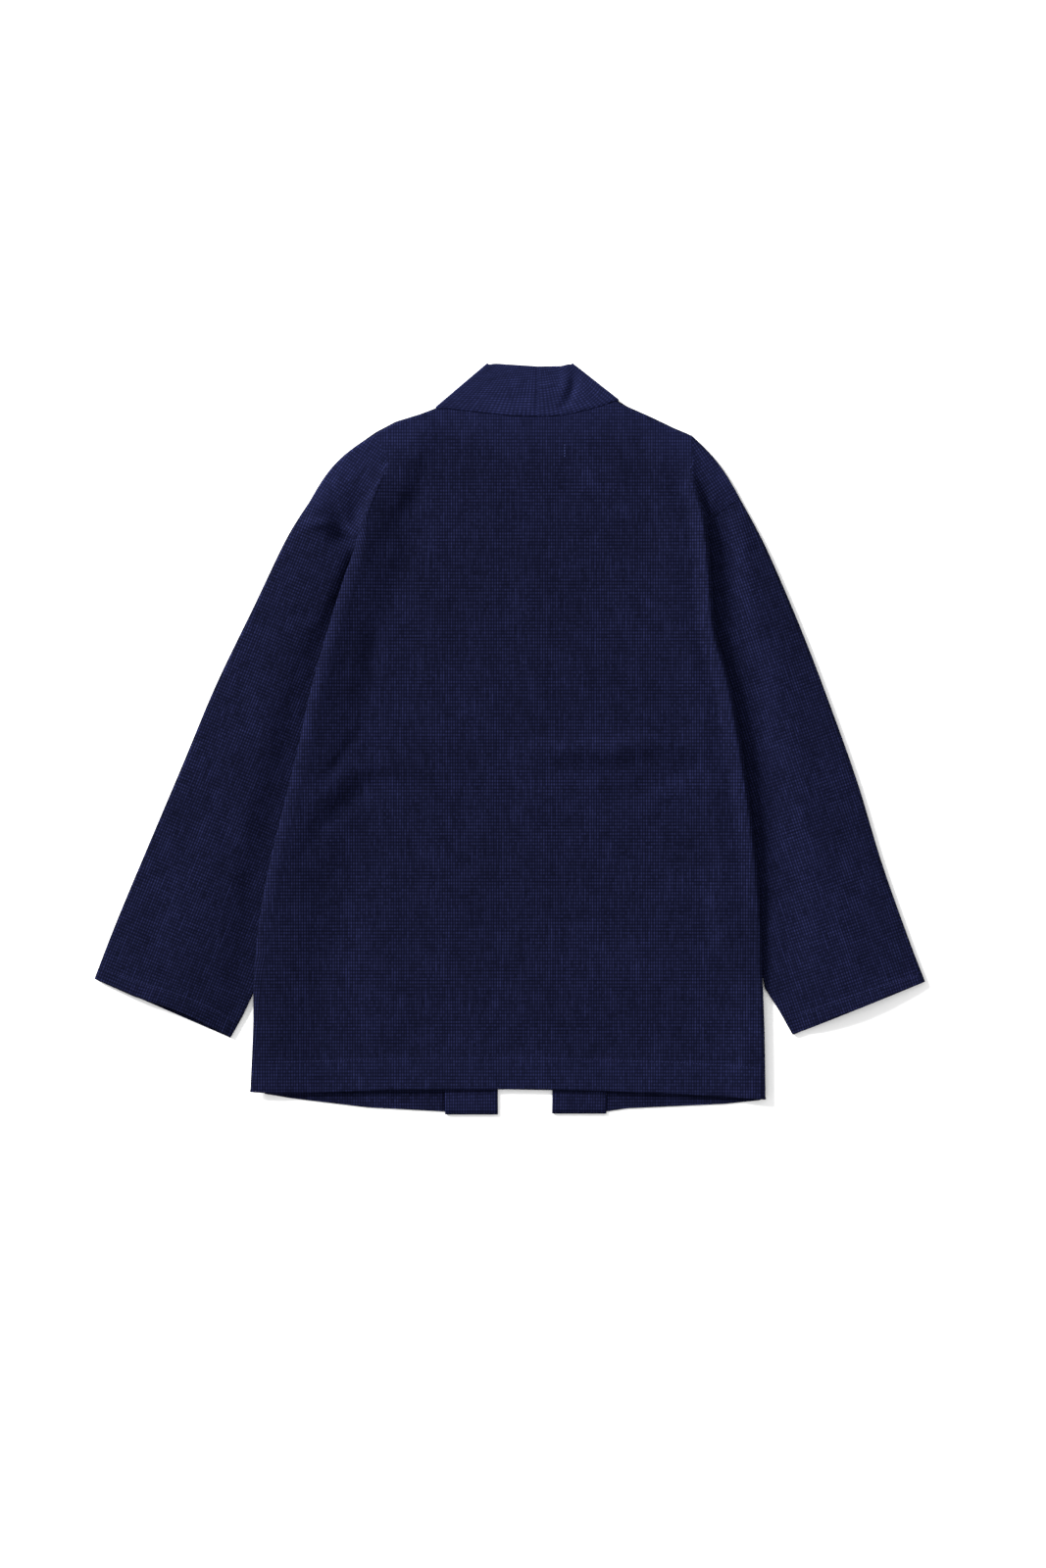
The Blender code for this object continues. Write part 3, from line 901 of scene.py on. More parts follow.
@dataclass
class BackPanel(ClothPiece):
    """The back, with its two folded sides, its hem and its shoulder edges."""

    row_count: int = 186
    ridge_columns: int = 22
    ridge_crowding: float = 1.3
    centre_columns: int = 72
    roll_steps: int = 11
    flap_steps: int = 13
    ridge_reach: float = 60.0
    # How far in the layers below hold the back up, and over what width each fold's roll falls.
    roll_reach: float = 21.0
    tuck_reach: float = 36.0
    hem_tuck_reach: float = 14.0
    tuck_fade: float = 30.0
    left_roll_reach: tuple[float, float] = (58.0, 95.0)
    left_tuck_fade: float = 60.0
    left_low_start: float = 90.0
    left_low_fade: float = 160.0
    # The turn at which a fold starts to widen, to tuck its cloth in, to lie low and to close,
    # each with how much more turn that takes.
    wide_turn: tuple[float, float] = (0.3, 0.6)
    tucked_turn: tuple[float, float] = (0.55, 0.35)
    low_turn: tuple[float, float] = (0.4, 0.4)
    closing_turn: tuple[float, float] = (0.3, 0.3)
    # How wide the rolls are, and how tight they may be.
    tightest_turn: float = 0.4
    least_tuck_gap: float = 2.0
    left_roll: float = 18.0
    right_roll: float = 6.5
    top_roll: float = 6.0
    # The cloth between the ridge and the armhole, near the shoulder.
    top_rows: tuple[float, float] = (0.8, 0.2)
    left_bulge: float = 8.5
    right_bulge: float = 4.5
    armhole_level: float = 3.05
    left_rise_power: float = 0.55
    right_rise_power: float = 0.50
    low_rise_power: float = 5.0
    dip_share: float = 0.32
    dip_start: float = 5.0
    dip_width: float = 0.6
    rim_reach: tuple[float, float] = (0.1, 0.6)
    # Painted sheen on the left flap beside the armhole, which tilts towards the light.
    flap_sheen: float = 0.05
    grain_turn: float = radians(-33)
    # Where the side seams are closed: their upper and lower end, and how softly each starts.
    closed_top: float = 65.0
    closed_top_fade: float = 60.0
    closed_bottom: float = -230.0
    closed_bottom_fade: float = 50.0
    # The turned hem: how much it stands up, how deep its stitch line sinks, and its paler tone.
    hem_drop: float = 0.9
    neck_drop: float = 0.8
    hem_rise: float = 0.6
    hem_groove: float = 0.5
    hem_paleness: float = 0.06
    hem_paleness_edge: tuple[float, float] = (-1.0, 2.0)
    # Creases fade out towards the hem and the top edge, where the cloth keeps to its line.
    hem_calm: tuple[float, float] = (-3.0, 12.0)
    top_calm: float = 1 / 30
    edge_power: int = 3

    def rows(self) -> ClothGrid:
        """Works out the back's points.

        Returns:
            The rows from the hem up to the shoulders.
        """
        grid = []
        tops = self.columns(LEFT_FOLD[0].ridge_x, RIGHT_FOLD[0].ridge_x)
        for row in range(self.row_count + 1):
            rise = row / self.row_count
            left = fold_at(LEFT_FOLD, 1.0 - rise)
            right = fold_at(RIGHT_FOLD, 1.0 - rise)
            full = ramp(left.turn, self.wide_turn)
            left_width = self.fold_width(left, blend(self.top_roll, self.left_roll, full))
            right_width = self.fold_width(right, self.right_roll)
            columns = self.columns(left.ridge_x + left_width, right.ridge_x - right_width)
            middle = [self.middle_point(x, top_x, rise, left, right)
                      for x, top_x in zip(columns, tops)]
            near_top = ramp(rise, self.top_rows)
            seam = (1.0 - rise) * (len(LEFT_FOLD) - 1) / ARMHOLE_END
            left_fold = self.fold_points(left, Arm.LEFT, left_width, self.left_bulge * near_top,
                                         seam)
            right_fold = self.fold_points(right, Arm.RIGHT, right_width,
                                          self.right_bulge * near_top, seam)
            grid.append(left_fold[::-1] + middle + right_fold)
        hem = turned_edge(grid[0], grid[1], [self.hem_drop] * len(grid[0]))
        top_drop = [self.top_drop(point.place.x) for point in grid[-1]]
        top = turned_edge(grid[-1], grid[-2], top_drop)
        return hem[::-1] + grid[1:-1] + top

    def top_drop(self, x: float) -> float:
        """Gives the radius of the turn at the top edge, smaller where the collar is sewn on."""
        return self.neck_drop if NECK_SEAM[0] < x < NECK_SEAM[1] else EDGE_TURN

    def fold_width(self, section: FoldSection, widest: float) -> float:
        """Gives the distance from the ridge to the top of its fold, less where it is low."""
        half_height = (section.height - self.tuck_level(section)) / 2
        return min(widest, half_height ** 2 / self.tightest_turn)

    def tuck_level(self, section: FoldSection) -> float:
        """Gives the height of the cloth turned under at one section of a side."""
        return min(BACK_TUCK_LEVEL, section.height - self.least_tuck_gap)

    def columns(self, left_x: float, right_x: float) -> list[float]:
        """Spaces the columns across the back, close together near the ridges.

        Args:
            left_x: Where the left fold's top is.
            right_x: Where the right fold's top is.

        Returns:
            The columns' places from left to right.
        """
        near = [self.ridge_reach * (step / self.ridge_columns) ** self.ridge_crowding
                for step in range(self.ridge_columns)]
        start = left_x + self.ridge_reach
        end = right_x - self.ridge_reach
        centre = [blend(start, end, step / self.centre_columns)
                  for step in range(self.centre_columns + 1)]
        return [left_x + step for step in near] + centre + [right_x - step for step in near[::-1]]

    def lift(self, x: float, left: FoldSection, right: FoldSection) -> float:
        """Tells how far the layers below lift the back at one place.

        Args:
            x: Place across the back.
            left: The left fold's section at this height.
            right: The right fold's section at this height.

        Returns:
            The rise over the level of the flat back.
        """
        most = 0.0
        for section, distance in ((left, x - left.ridge_x), (right, right.ridge_x - x)):
            near_hem = ease((SLIT_LEVEL - section.ridge_y) / SLIT_FADE)
            over = min(BACK_OVER_TUCK, section.height)
            reach = blend(self.tuck_reach, self.hem_tuck_reach, near_hem)
            fade = self.tuck_fade
            fall = self.roll_reach
            if section is left:
                low = ease((self.left_low_start - section.ridge_y) / self.left_low_fade)
                fall = blend(*self.left_roll_reach, low)
                fade = blend(self.tuck_fade, self.left_tuck_fade, low)
            held = 1.0 - ease((distance - reach) / fade)
            roll = (section.height - over) * (1.0 - ease(distance / fall))
            most = max(most, (over - BACK_LEVEL) * held + roll)
        return most

    def middle_point(self, x: float, top_x: float, rise: float, left: FoldSection,
                     right: FoldSection) -> ClothPoint:
        """Works out one point of the back between its ridges.

        Args:
            x: Place across the back.
            top_x: Where the same column meets the top edge.
            rise: 0 at the hem and 1 at the top.
            left: The left fold's section at this row.
            right: The right fold's section at this row.

        Returns:
            The point.
        """
        over = (x - left.ridge_x) / (right.ridge_x - left.ridge_x)
        y = blend(left.ridge_y, right.ridge_y, over)
        top_gap = height_on_line(TOP_EDGE, top_x)
        top_gap -= blend(LEFT_FOLD[0].ridge_y, RIGHT_FOLD[0].ridge_y, over)
        hem_gap = height_on_line(BACK_HEM, x)
        hem_gap -= blend(LEFT_FOLD[-1].ridge_y, RIGHT_FOLD[-1].ridge_y, over)
        y += top_gap * rise ** self.edge_power + hem_gap * (1.0 - rise) ** self.edge_power
        above_hem = y - height_on_line(BACK_HEM, x)
        above_stitches = above_hem - HEM_DEPTH
        calm = ramp(above_hem, self.hem_calm) * ease((1.0 - rise) / self.top_calm)
        z = BACK_LEVEL + SURFACE_RISE + self.lift(x, left, right)
        z += (crease_rise(BACK_CREASES, x, y) + unevenness(x, y, BACK_SEED)) * calm
        if z < LOWEST_BACK + SINK_START:
            z = LOWEST_BACK + exp(z - LOWEST_BACK - SINK_START)
        z += hem_profile(above_stitches, self.hem_rise, self.hem_groove)
        pale_and_sheen = paleness_below_top(x, y) + self.hem_paleness * (1.0 - ramp(above_stitches, self.hem_paleness_edge))
        return ClothPoint(Vector((x, y, z)), (x, y), pale_and_sheen)

    def fold_points(self, section: FoldSection, arm: Arm, width: float, bulge: float,
                    seam: float) -> list[ClothPoint]:
        """Works out one row of a side, from the top of the fold round it and out to the seam.

        Args:
            section: The fold's section at this row.
            arm: The side.
            width: Distance from the ridge to the top of the fold.
            bulge: How far the cloth beside the armhole curves out.
            seam: How far down the armhole the row is, with 1 at the underarm.

        Returns:
            The row's points, outwards from the back's middle.
        """
        inward = arm.value
        half_height = (section.height - self.tuck_level(section)) / 2
        angle_end = pi / 2 + pi * section.turn
        places = []
        for step in range(1, self.roll_steps + 1):
            angle = blend(pi / 2, angle_end, step / self.roll_steps)
            places.append(Vector((
                section.ridge_x + inward * width * (1.0 + cos(angle)),
                section.ridge_y,
                section.height - half_height * (1.0 - sin(angle)) + SURFACE_RISE,
            )))
        last = places[-1].copy()
        rounding = Vector((-inward, 1.0)).normalized() * bulge
        closing = ease((self.closed_top - section.ridge_y) / self.closed_top_fade)
        closing *= ease((section.ridge_y - self.closed_bottom) / self.closed_bottom_fade)
        open_level = blend(self.armhole_level + armhole_lift(seam, arm), BACK_TUCK_LEVEL,
                           ramp(section.turn, self.tucked_turn))
        seam_level = blend(open_level, SIDE_SEAM_LEVEL, closing)
        early = self.left_rise_power if arm is Arm.LEFT else self.right_rise_power
        power = blend(early, self.low_rise_power, ramp(section.turn, self.low_turn))
        turned = 1.0 - ramp(section.turn, self.closing_turn)
        dip = self.dip_share * max(0.0, section.height - self.dip_start) * turned
        for step in range(1, self.flap_steps + 1):
            share = step / self.flap_steps
            sunk = dip * sin(pi * min(1.0, share / self.dip_width))
            places.append(Vector((
                blend(last.x, section.seam_x, share) + rounding.x * sin(pi * share),
                blend(last.y, section.seam_y, share) + rounding.y * sin(pi * share),
                blend(last.z, seam_level, share ** power) - sunk,
            )))
        # A point close past the seam keeps the shading of the rim off the cloth beside it.
        end_way = (places[-1] - places[-2]).normalized()
        places.append(places[-1] + end_way * blend(*self.rim_reach, turned))
        points = []
        reach = 0.0
        before = Vector((section.ridge_x + inward * width, section.ridge_y,
                         section.height + SURFACE_RISE))
        for index, place in enumerate(places):
            reach += (place - before).length
            before = place
            cut = (section.ridge_x - inward * reach, place.y)
            if turned > 0.0 and index > self.roll_steps // 2:
                turn = Matrix.Rotation(-inward * self.grain_turn, 2)
                cut = tuple(turn @ place.to_2d())
            pale_and_sheen = paleness_below_top(place.x, place.y)
            # The left flap tilts towards the light and gets a painted sheen.
            if arm is Arm.LEFT:
                pale_and_sheen += self.flap_sheen * turned * ease(3.0 * index / (len(places) - 1))
            points.append(ClothPoint(place, cut, pale_and_sheen))
        return points


@dataclass
class FrontPanel(ClothPiece):
    """One front, flat on the surface, from the armhole and side seam to the band."""

    arm: Arm = Arm.LEFT
    row_count: int = 150
    column_count: int = 44
    seam_gap: float = 0.6
    band_gap: float = 0.3
    floor_gap: float = 0.1
    wave_share: float = 0.25
    hem_drop: float = 0.5
    hem_steps: int = 3
    # How late the side edge leaves the seam for the hem's corner, across and along.
    slit_power: int = 2
    corner_power: int = 4

    def rows(self) -> ClothGrid:
        """Works out the front's points.

        Returns:
            The rows from the hem up to the shoulder.
        """
        inward = self.arm.value
        side = SIDES[self.arm]
        hem, band = side.front_hem, side.band
        low = [tuple(self.side_edge(0.0))] + list(hem[1:])
        high = [(x + inward * self.seam_gap, y) for x, y in side.shoulder]
        corners = (Vector(low[0]), Vector(low[-1]), Vector(high[0]), Vector(high[-1]))
        grid = []
        for row in range(self.row_count + 1):
            up = row / self.row_count
            side_place = self.side_edge(up)
            band_y = blend(hem[-1][1], side.shoulder[-1][1], up)
            strip = smooth_row(band, (band_y - band[0][0]) / (band[-1][0] - band[0][0]))
            band_place = Vector((strip[1] - inward * self.band_gap, band_y))
            points = []
            for column in range(self.column_count + 1):
                across = column / self.column_count
                ends = along(low, across).lerp(along(high, across), up)
                corner = corners[0].lerp(corners[1], across)
                corner = corner.lerp(corners[2].lerp(corners[3], across), up)
                place = side_place.lerp(band_place, across) + ends - corner
                calm = self.wave_share * sin(pi * up) * sin(pi * across)
                wave = max(0.0, unevenness(place.x, place.y, FRONT_SEED)) * calm
                level = CLOTH / 2 + self.floor_gap + wave
                points.append(ClothPoint(Vector((place.x, place.y, level)), tuple(place)))
            grid.append(points)
        columns = self.column_count + 1
        top = turned_edge(grid[-1], grid[-2], [-EDGE_TURN] * columns)
        hem_turn = turned_edge(grid[0], grid[1], [-self.hem_drop] * columns, self.hem_steps)
        return hem_turn[::-1] + grid[1:-1] + top

    def side_edge(self, up: float) -> Vector:
        """Finds the place on the front's side edge or armhole at one height.

        Args:
            up: 0 at the hem and 1 at the shoulder.

        Returns:
            The place.
        """
        section = fold_at(SIDES[self.arm].fold, 1.0 - up)
        corner = SIDES[self.arm].front_hem[0]
        seam_x = section.seam_x + self.arm.value * self.seam_gap
        near_hem = ease((SLIT_LEVEL - section.ridge_y) / SLIT_FADE) ** self.slit_power
        lowest = near_hem * (1.0 - up) ** self.corner_power
        return Vector((blend(seam_x, corner[0], near_hem),
                       blend(section.seam_y, corner[1], lowest)))


COLLAR_CREASES = (
    Crease(((72, 404), (70, 387), (65, 372), (57, 363)), -2.0, 8),
    Crease(((63, 404), (60, 386), (54, 370)), 1.0, 8),
    Crease(((82, 402), (84, 386), (90, 372)), 0.9, 9),
    Crease(((14, 389), (23, 387)), -0.8, 7),
    Crease(((31, 406), (31, 354)), -0.7, 2.5),
)


@dataclass
class NeckBand(ClothPiece):
    """Half of the doubled neck band: up the front, over at the corner, to the centre back."""

    arm: Arm = Arm.LEFT
    strip_rows: int = 150
    turn_rows: int = 9
    collar_rows: int = 30
    last_row: float = 0.12
    width_columns: int = 16
    edge_steps: int = 4
    half_depth: float = 0.62
    closed: bool = True
    # Half the gap at the centre seam, and the gaps to the corner and to the back's neck edge.
    centre_gap: float = 0.03
    corner_gap: float = 1.0
    neck_gap: float = 1.2
    # The collar's rows take this many to reach their line and their creases.
    line_rows: float = 5.0
    crease_rows: float = 6.0
    wave_share: float = 0.35
    # The strip is a little paler. The collar gets a painted sheen, for the light that its upturned
    # face and turned grain catch, over its first rows.
    strip_paleness: float = 0.08
    collar_sheen: float = 0.30
    collar_sheen_rows: float = 4.0
    cut_gap: float = 2.0

    def rows(self) -> ClothGrid:
        """Works out the flattened tube's points.

        Returns:
            The rings from the hem to the centre of the neck.
        """
        lines = [self.line(column / self.width_columns)
                 for column in range(self.width_columns + 1)]
        middle = lines[len(lines) // 2]
        grid = []
        length = 0.0
        for row, place in enumerate(middle):
            length += (place - middle[max(row - 1, 0)]).length
            grid.append(self.ring(lines, row, length))
        return grid

    def line(self, across: float) -> list[Vector]:
        """Follows one thread of the band along its whole length.

        Args:
            across: 0 at the outer edge of the strip and 1 at its inner edge.

        Returns:
            The thread's places.
        """
        strip = SIDES[self.arm].band
        corner = SIDES[self.arm].corner
        slope = Vector(corner[1]) - Vector(corner[0])
        outward = Vector((-slope.y, slope.x)).normalized()
        outward = outward if outward.y > 0 else -outward
        place = Vector(corner[0]).lerp(Vector(corner[1]), across)
        turn = (COLLAR_LEVEL - BAND_LEVEL) / 2
        points = []
        for row in range(self.strip_rows):
            y = blend(strip[0][0], place.y - self.corner_gap, row / self.strip_rows)
            edges = smooth_row(strip, (y - strip[0][0]) / (strip[-1][0] - strip[0][0]))
            points.append(Vector((blend(edges[1], edges[2], across), y, BAND_LEVEL)))
        for step in range(self.turn_rows + 1):
            angle = pi * step / self.turn_rows
            spot = place - outward * turn * (1.0 - sin(angle))
            points.append(Vector((spot.x, spot.y, BAND_LEVEL + turn * (1.0 - cos(angle)))))
        start = points[-1].copy()
        end_x = BAND_CENTRE - self.arm.value * self.centre_gap
        # A row close before the end keeps the shading of the rim off the cloth beside the seam.
        rows = self.collar_rows
        for step in [*range(1, rows), rows - self.last_row, rows]:
            x = blend(start.x, end_x, step / rows)
            y = blend(height_on_line(NECKLINE, x) + self.neck_gap, height_on_line(COLLAR_TOP, x),
                      across)
            y = blend(start.y, y, ease(step / self.line_rows))
            rise = crease_rise(COLLAR_CREASES, x, y)
            rise += self.wave_share * unevenness(x, y, BAND_SEED)
            points.append(Vector((x, y, COLLAR_LEVEL + rise * ease(step / self.crease_rows))))
        return points

    def ring(self, lines: list[list[Vector]], row: int, length: float) -> list[ClothPoint]:
        """Works out one section of the tube: out on one side, round the edge and back.

        Args:
            lines: The band's threads.
            row: Which place of each thread is meant.
            length: How far along the cloth the section is.

        Returns:
            The section's points, with the last one over the first.
        """
        last = len(lines[0]) - 1
        normals = []
        for index, line in enumerate(lines):
            forward = line[min(row + 1, last)] - line[max(row - 1, 0)]
            aside = lines[min(index + 1, len(lines) - 1)][row] - lines[max(index - 1, 0)][row]
            normals.append(forward.cross(aside).normalized())
        width = (lines[0][row] - lines[-1][row]).length
        # A plain paler strip, and painted sheen on the collar.
        pale_and_sheen = self.strip_paleness + self.collar_sheen * ease((row - self.strip_rows) / self.collar_sheen_rows)
        depth = self.half_depth
        points = []
        cut = 0.0
        for side, order in ((1.0, range(len(lines))), (-1.0, range(len(lines) - 1, -1, -1))):
            for step, index in enumerate(order):
                place = lines[index][row] + normals[index] * side * depth
                across = cut + step / (len(lines) - 1) * width
                points.append(ClothPoint(place, (across, length), pale_and_sheen))
            edge, inner = order[-1], order[-2]
            out = (lines[edge][row] - lines[inner][row]).normalized()
            for step in range(1, self.edge_steps):
                angle = pi * step / self.edge_steps
                around = normals[edge] * side * cos(angle) + out * sin(angle)
                across = cut + width + depth * angle
                points.append(ClothPoint(lines[edge][row] + around * depth, (across, length), pale_and_sheen))
            cut += width + self.cut_gap
        points.append(ClothPoint(points[0].place, (cut, length), pale_and_sheen))
        return points


SLEEVE_CREASES = (
    Crease(((-236, 138), (-214, 130)), -1.2, 10),
    Crease(((-250, 150), (-222, 144)), 0.9, 12),
    Crease(((-222, 236), (-200, 236), (-180, 232)), 4.0, 10),
    Crease(((-150, 220), (-168, 221), (-190, 219)), -8.0, 12),
    Crease(((-300, 90), (-262, 20), (-252, -40)), 0.8, 16),
    Crease(((-330, -40), (-300, -120)), -0.7, 20),
    Crease(((-380, -150), (-340, -210)), 0.6, 20),
    Crease(((-300, -230), (-286, -262)), -0.7, 14),
    Crease(((277, 212), (254, 198)), -1.4, 9),
    Crease(((284, 224), (262, 214)), 0.8, 11),
    Crease(((300, 120), (290, 40), (298, -40)), 0.7, 18),
    Crease(((330, 20), (352, -80)), -0.7, 18),
    Crease(((320, -130), (380, -190)), 0.7, 20),
    Crease(((296, -200), (330, -250)), -0.6, 16),
)


@dataclass
class Sleeve(ClothPiece):
    """One sleeve, a flattened tube that is open at the armhole and the cuff."""

    arm: Arm = Arm.LEFT
    ring_count: int = 128
    second_ring: float = 0.0005
    width_columns: int = 40
    turn_steps: int = 7
    closed: bool = True
    # How the upper layer stands up: along the top fold, and in its middle, at the top and below.
    fold_rise: float = 1.5
    billow: float = 5.0
    top_billow: float = 4.5
    billow_start: float = 0.3
    # Shares of the sleeve's length and width over which its forms begin.
    armhole_share: float = 1 / 9
    billow_share: float = 1 / 14
    fold_share: float = 1 / 4
    fold_width: float = 1 / 3
    crease_share: float = 1 / 40
    crease_power: float = 0.3
    # Beside the back's fold: how wide the flat valley is, and how softly the cloth leaves it.
    valley: float = 1.0
    slope_reach: float = 40.0
    top_slope_reach: float = 7.0
    slope_span: tuple[float, float] = (0.08, 0.3)
    wave_share: float = 0.8
    deepest: float = 1.0
    floor_gap: float = 0.05
    # The cuff: its hem, its lifted middle, and how far its upper layer has slipped back.
    hem_rise: float = 0.4
    hem_groove: float = 0.35
    cuff_lift: float = 1.2
    cuff_lift_span: tuple[float, float] = (0.93, 0.07)
    cuff_slip: float = 0.0
    cuff_slip_span: tuple[float, float] = (0.9, 0.1)
    cuff_slip_side: float = 0.3
    cuff_turn_steps: int = 3
    cuff_turn_reach: float = 0.7
    cuff_turn_height: float = 0.5
    # Paler tone: plain all over, painted sheen at the shoulder, and painted highlight along the
    # upper part of the top fold.
    pale_and_sheen: float = 0.0
    shoulder_sheen: float = 0.0
    fold_highlight: float = 0.10
    fold_highlight_width: float = 1 / 6
    fold_highlight_reach: float = 1 / 3

    def rows(self) -> ClothGrid:
        """Works out the sleeve's rings.

        Returns:
            The rings from the armhole to the cuff, and round the cuff's edge.
        """
        side = SIDES[self.arm]
        armhole = [self.armhole(column / self.width_columns)
                   for column in range(self.width_columns + 1)]
        inner = [tuple(armhole[-1])] + list(side.underarm)
        cuff = Vector(side.sleeve_fold[-1]) + Vector(side.underarm[-1])
        axis = (cuff - armhole[0] - armhole[-1]).normalized()
        grid = []
        rings = [ring / self.ring_count for ring in range(self.ring_count + 1)]
        # A ring close after the first keeps the shading of the rim off the cloth at the seam.
        for down in [rings[0], self.second_ring, *rings[1:]]:
            outer_place = rounded_line(side.sleeve_fold, down)
            inner_place = along(inner, down)
            places = []
            for column, seam in enumerate(armhole):
                across = column / self.width_columns
                bow = seam - armhole[0].lerp(armhole[-1], across)
                places.append(outer_place.lerp(inner_place, across) + bow * (1.0 - down))
            grid.append(self.ring(places, down, axis))
        return grid + self.cuff_turn(grid)

    def armhole(self, share: float) -> Vector:
        """Finds a place on the armhole seam.

        Args:
            share: 0 at the shoulder and 1 at the underarm.

        Returns:
            The place.
        """
        fold = SIDES[self.arm].fold
        section = fold_at(fold, share * ARMHOLE_END / (len(fold) - 1))
        return Vector((section.seam_x, section.seam_y))

    def cuff_turn(self, grid: ClothGrid) -> ClothGrid:
        """Works out the rings that turn the cuff's edge into the sleeve.

        Args:
            grid: The sleeve's rings so far.

        Returns:
            The rings to add.
        """
        last = grid[-1]
        middle = sum((point.place.z for point in last), 0.0) / len(last)
        rings = []
        for step in range(1, self.cuff_turn_steps + 1):
            angle = pi / 2 * step / self.cuff_turn_steps
            ring = []
            for point, before in zip(last, grid[-2]):
                way = (point.place - before.place).normalized()
                toward = 1.0 if point.place.z < middle else -1.0
                place = point.place + way * self.cuff_turn_reach * sin(angle)
                place.z += toward * self.cuff_turn_height * (1.0 - cos(angle))
                ring.append(ClothPoint(place, point.cut, point.pale_and_sheen))
            rings.append(ring)
        return rings

    def height(self, place: Vector, share: float, down: float) -> float:
        """Works out how high the sleeve's upper layer lies at one place.

        Args:
            place: The place over the surface.
            share: 0 at the top fold and 1 at the underarm.
            down: 0 at the armhole and 1 at the cuff.

        Returns:
            The height of the middle of the cloth.
        """
        clear = -self.arm.value * (place.x - ridge_x_at(SIDES[self.arm].fold, place.y))
        slope = blend(self.top_slope_reach, self.slope_reach, ramp(down, self.slope_span))
        billow = blend(self.top_billow, self.billow, ease(down / self.billow_start))
        free = ease((clear - self.valley) / slope)
        level = SLEEVE_TOP_LEVEL + SURFACE_RISE
        level += armhole_lift(share, self.arm) * (1.0 - ease(down / self.armhole_share))
        level += billow * free * ease(down / self.billow_share) * sin(pi * share)
        on_fold = ease(down / self.fold_share) * (1.0 - ease(share / self.fold_width))
        level += self.fold_rise * on_fold
        past_hem = (1.0 - down) * SLEEVE_LENGTH - CUFF_HEM_DEPTH
        extra = crease_rise(SLEEVE_CREASES, place.x, place.y)
        extra += self.wave_share * unevenness(place.x, place.y, SLEEVE_SEED)
        extra += hem_profile(past_hem, self.hem_rise, self.hem_groove)
        extra += self.cuff_lift * ramp(down, self.cuff_lift_span) * sin(pi * share)
        extra *= free * ease(down / self.crease_share) * sin(pi * share) ** self.crease_power
        return max(level + extra, SLEEVE_TOP_LEVEL - self.deepest)

    def ring(self, places: list[Vector], down: float, axis: Vector) -> list[ClothPoint]:
        """Works out one ring: over the top, round the underarm, back below and round the fold.

        Args:
            places: The ring's places from the top fold to the underarm.
            down: 0 at the armhole and 1 at the cuff.
            axis: The way down the sleeve.

        Returns:
            The ring's points, with the last one over the first.
        """
        across = (places[-1] - places[0]).normalized()
        normal = Vector((axis.y, -axis.x)) * -self.arm.value
        shares = [column / self.width_columns for column in range(self.width_columns + 1)]
        heights = [self.height(place, share, down) for place, share in zip(places, shares)]
        low = CLOTH / 2 + self.floor_gap
        turns = ((heights[0] - low) / 2, (heights[-1] - low) / 2)
        inset = [places[0] + across * turns[0]] + places[1:-1] + [places[-1] - across * turns[1]]
        # Painted sheen by the shoulder, and a painted highlight along the top fold.
        shoulder = self.shoulder_sheen * (1.0 - ease(down / self.armhole_share))
        fold_highlight = self.fold_highlight * (1.0 - ease(down / self.fold_highlight_reach))
        slip = self.cuff_slip * ramp(down, self.cuff_slip_span)
        side_start = self.cuff_slip_side
        points = []
        for place, height, share in zip(inset, heights, shares):
            cut = (place.dot(normal), place.dot(axis))
            slipped = min(1.0, max(0.0, (share - side_start) / (1.0 - side_start)))
            place = place - axis * slip * sin(pi * slipped)
            pale_and_sheen = self.pale_and_sheen + shoulder + fold_highlight * (1.0 - ease(share / self.fold_highlight_width))
            points.append(ClothPoint(Vector((place.x, place.y, height)), cut, pale_and_sheen))
        points += self.turn(inset[-1], across, turns[1], points[-1].cut, 1.0)
        edge = points[-1].cut[0]
        for place in reversed(inset):
            cut = (2.0 * edge - place.dot(normal), place.dot(axis))
            points.append(ClothPoint(Vector((place.x, place.y, low)), cut, 0.0))
        points += self.turn(inset[0], -across, turns[0], points[-1].cut, -1.0)
        points.append(ClothPoint(points[0].place, points[-1].cut, shoulder))
        return points

    def turn(self, place: Vector, out: Vector, radius: float, cut: tuple[float, float],
             way: float) -> list[ClothPoint]:
        """Works out the points round one edge of the flattened tube.

        Args:
            place: Where the edge's turn has its middle.
            out: The way out of the tube.
            radius: The turn's radius.
            cut: Place on the cut cloth where the turn starts.
            way: 1 for a turn down to the lower layer, and -1 for one up to the upper layer.

        Returns:
            The points between the two layers.
        """
        low = CLOTH / 2 + self.floor_gap
        points = []
        for step in range(1, self.turn_steps):
            angle = way * (pi / 2 - pi * step / self.turn_steps)
            spot = place + out * radius * cos(angle)
            height = low + radius * (1.0 + sin(angle))
            points.append(ClothPoint(Vector((spot.x, spot.y, height)),
                                     (cut[0] + radius * pi * step / self.turn_steps, cut[1])))
        return points


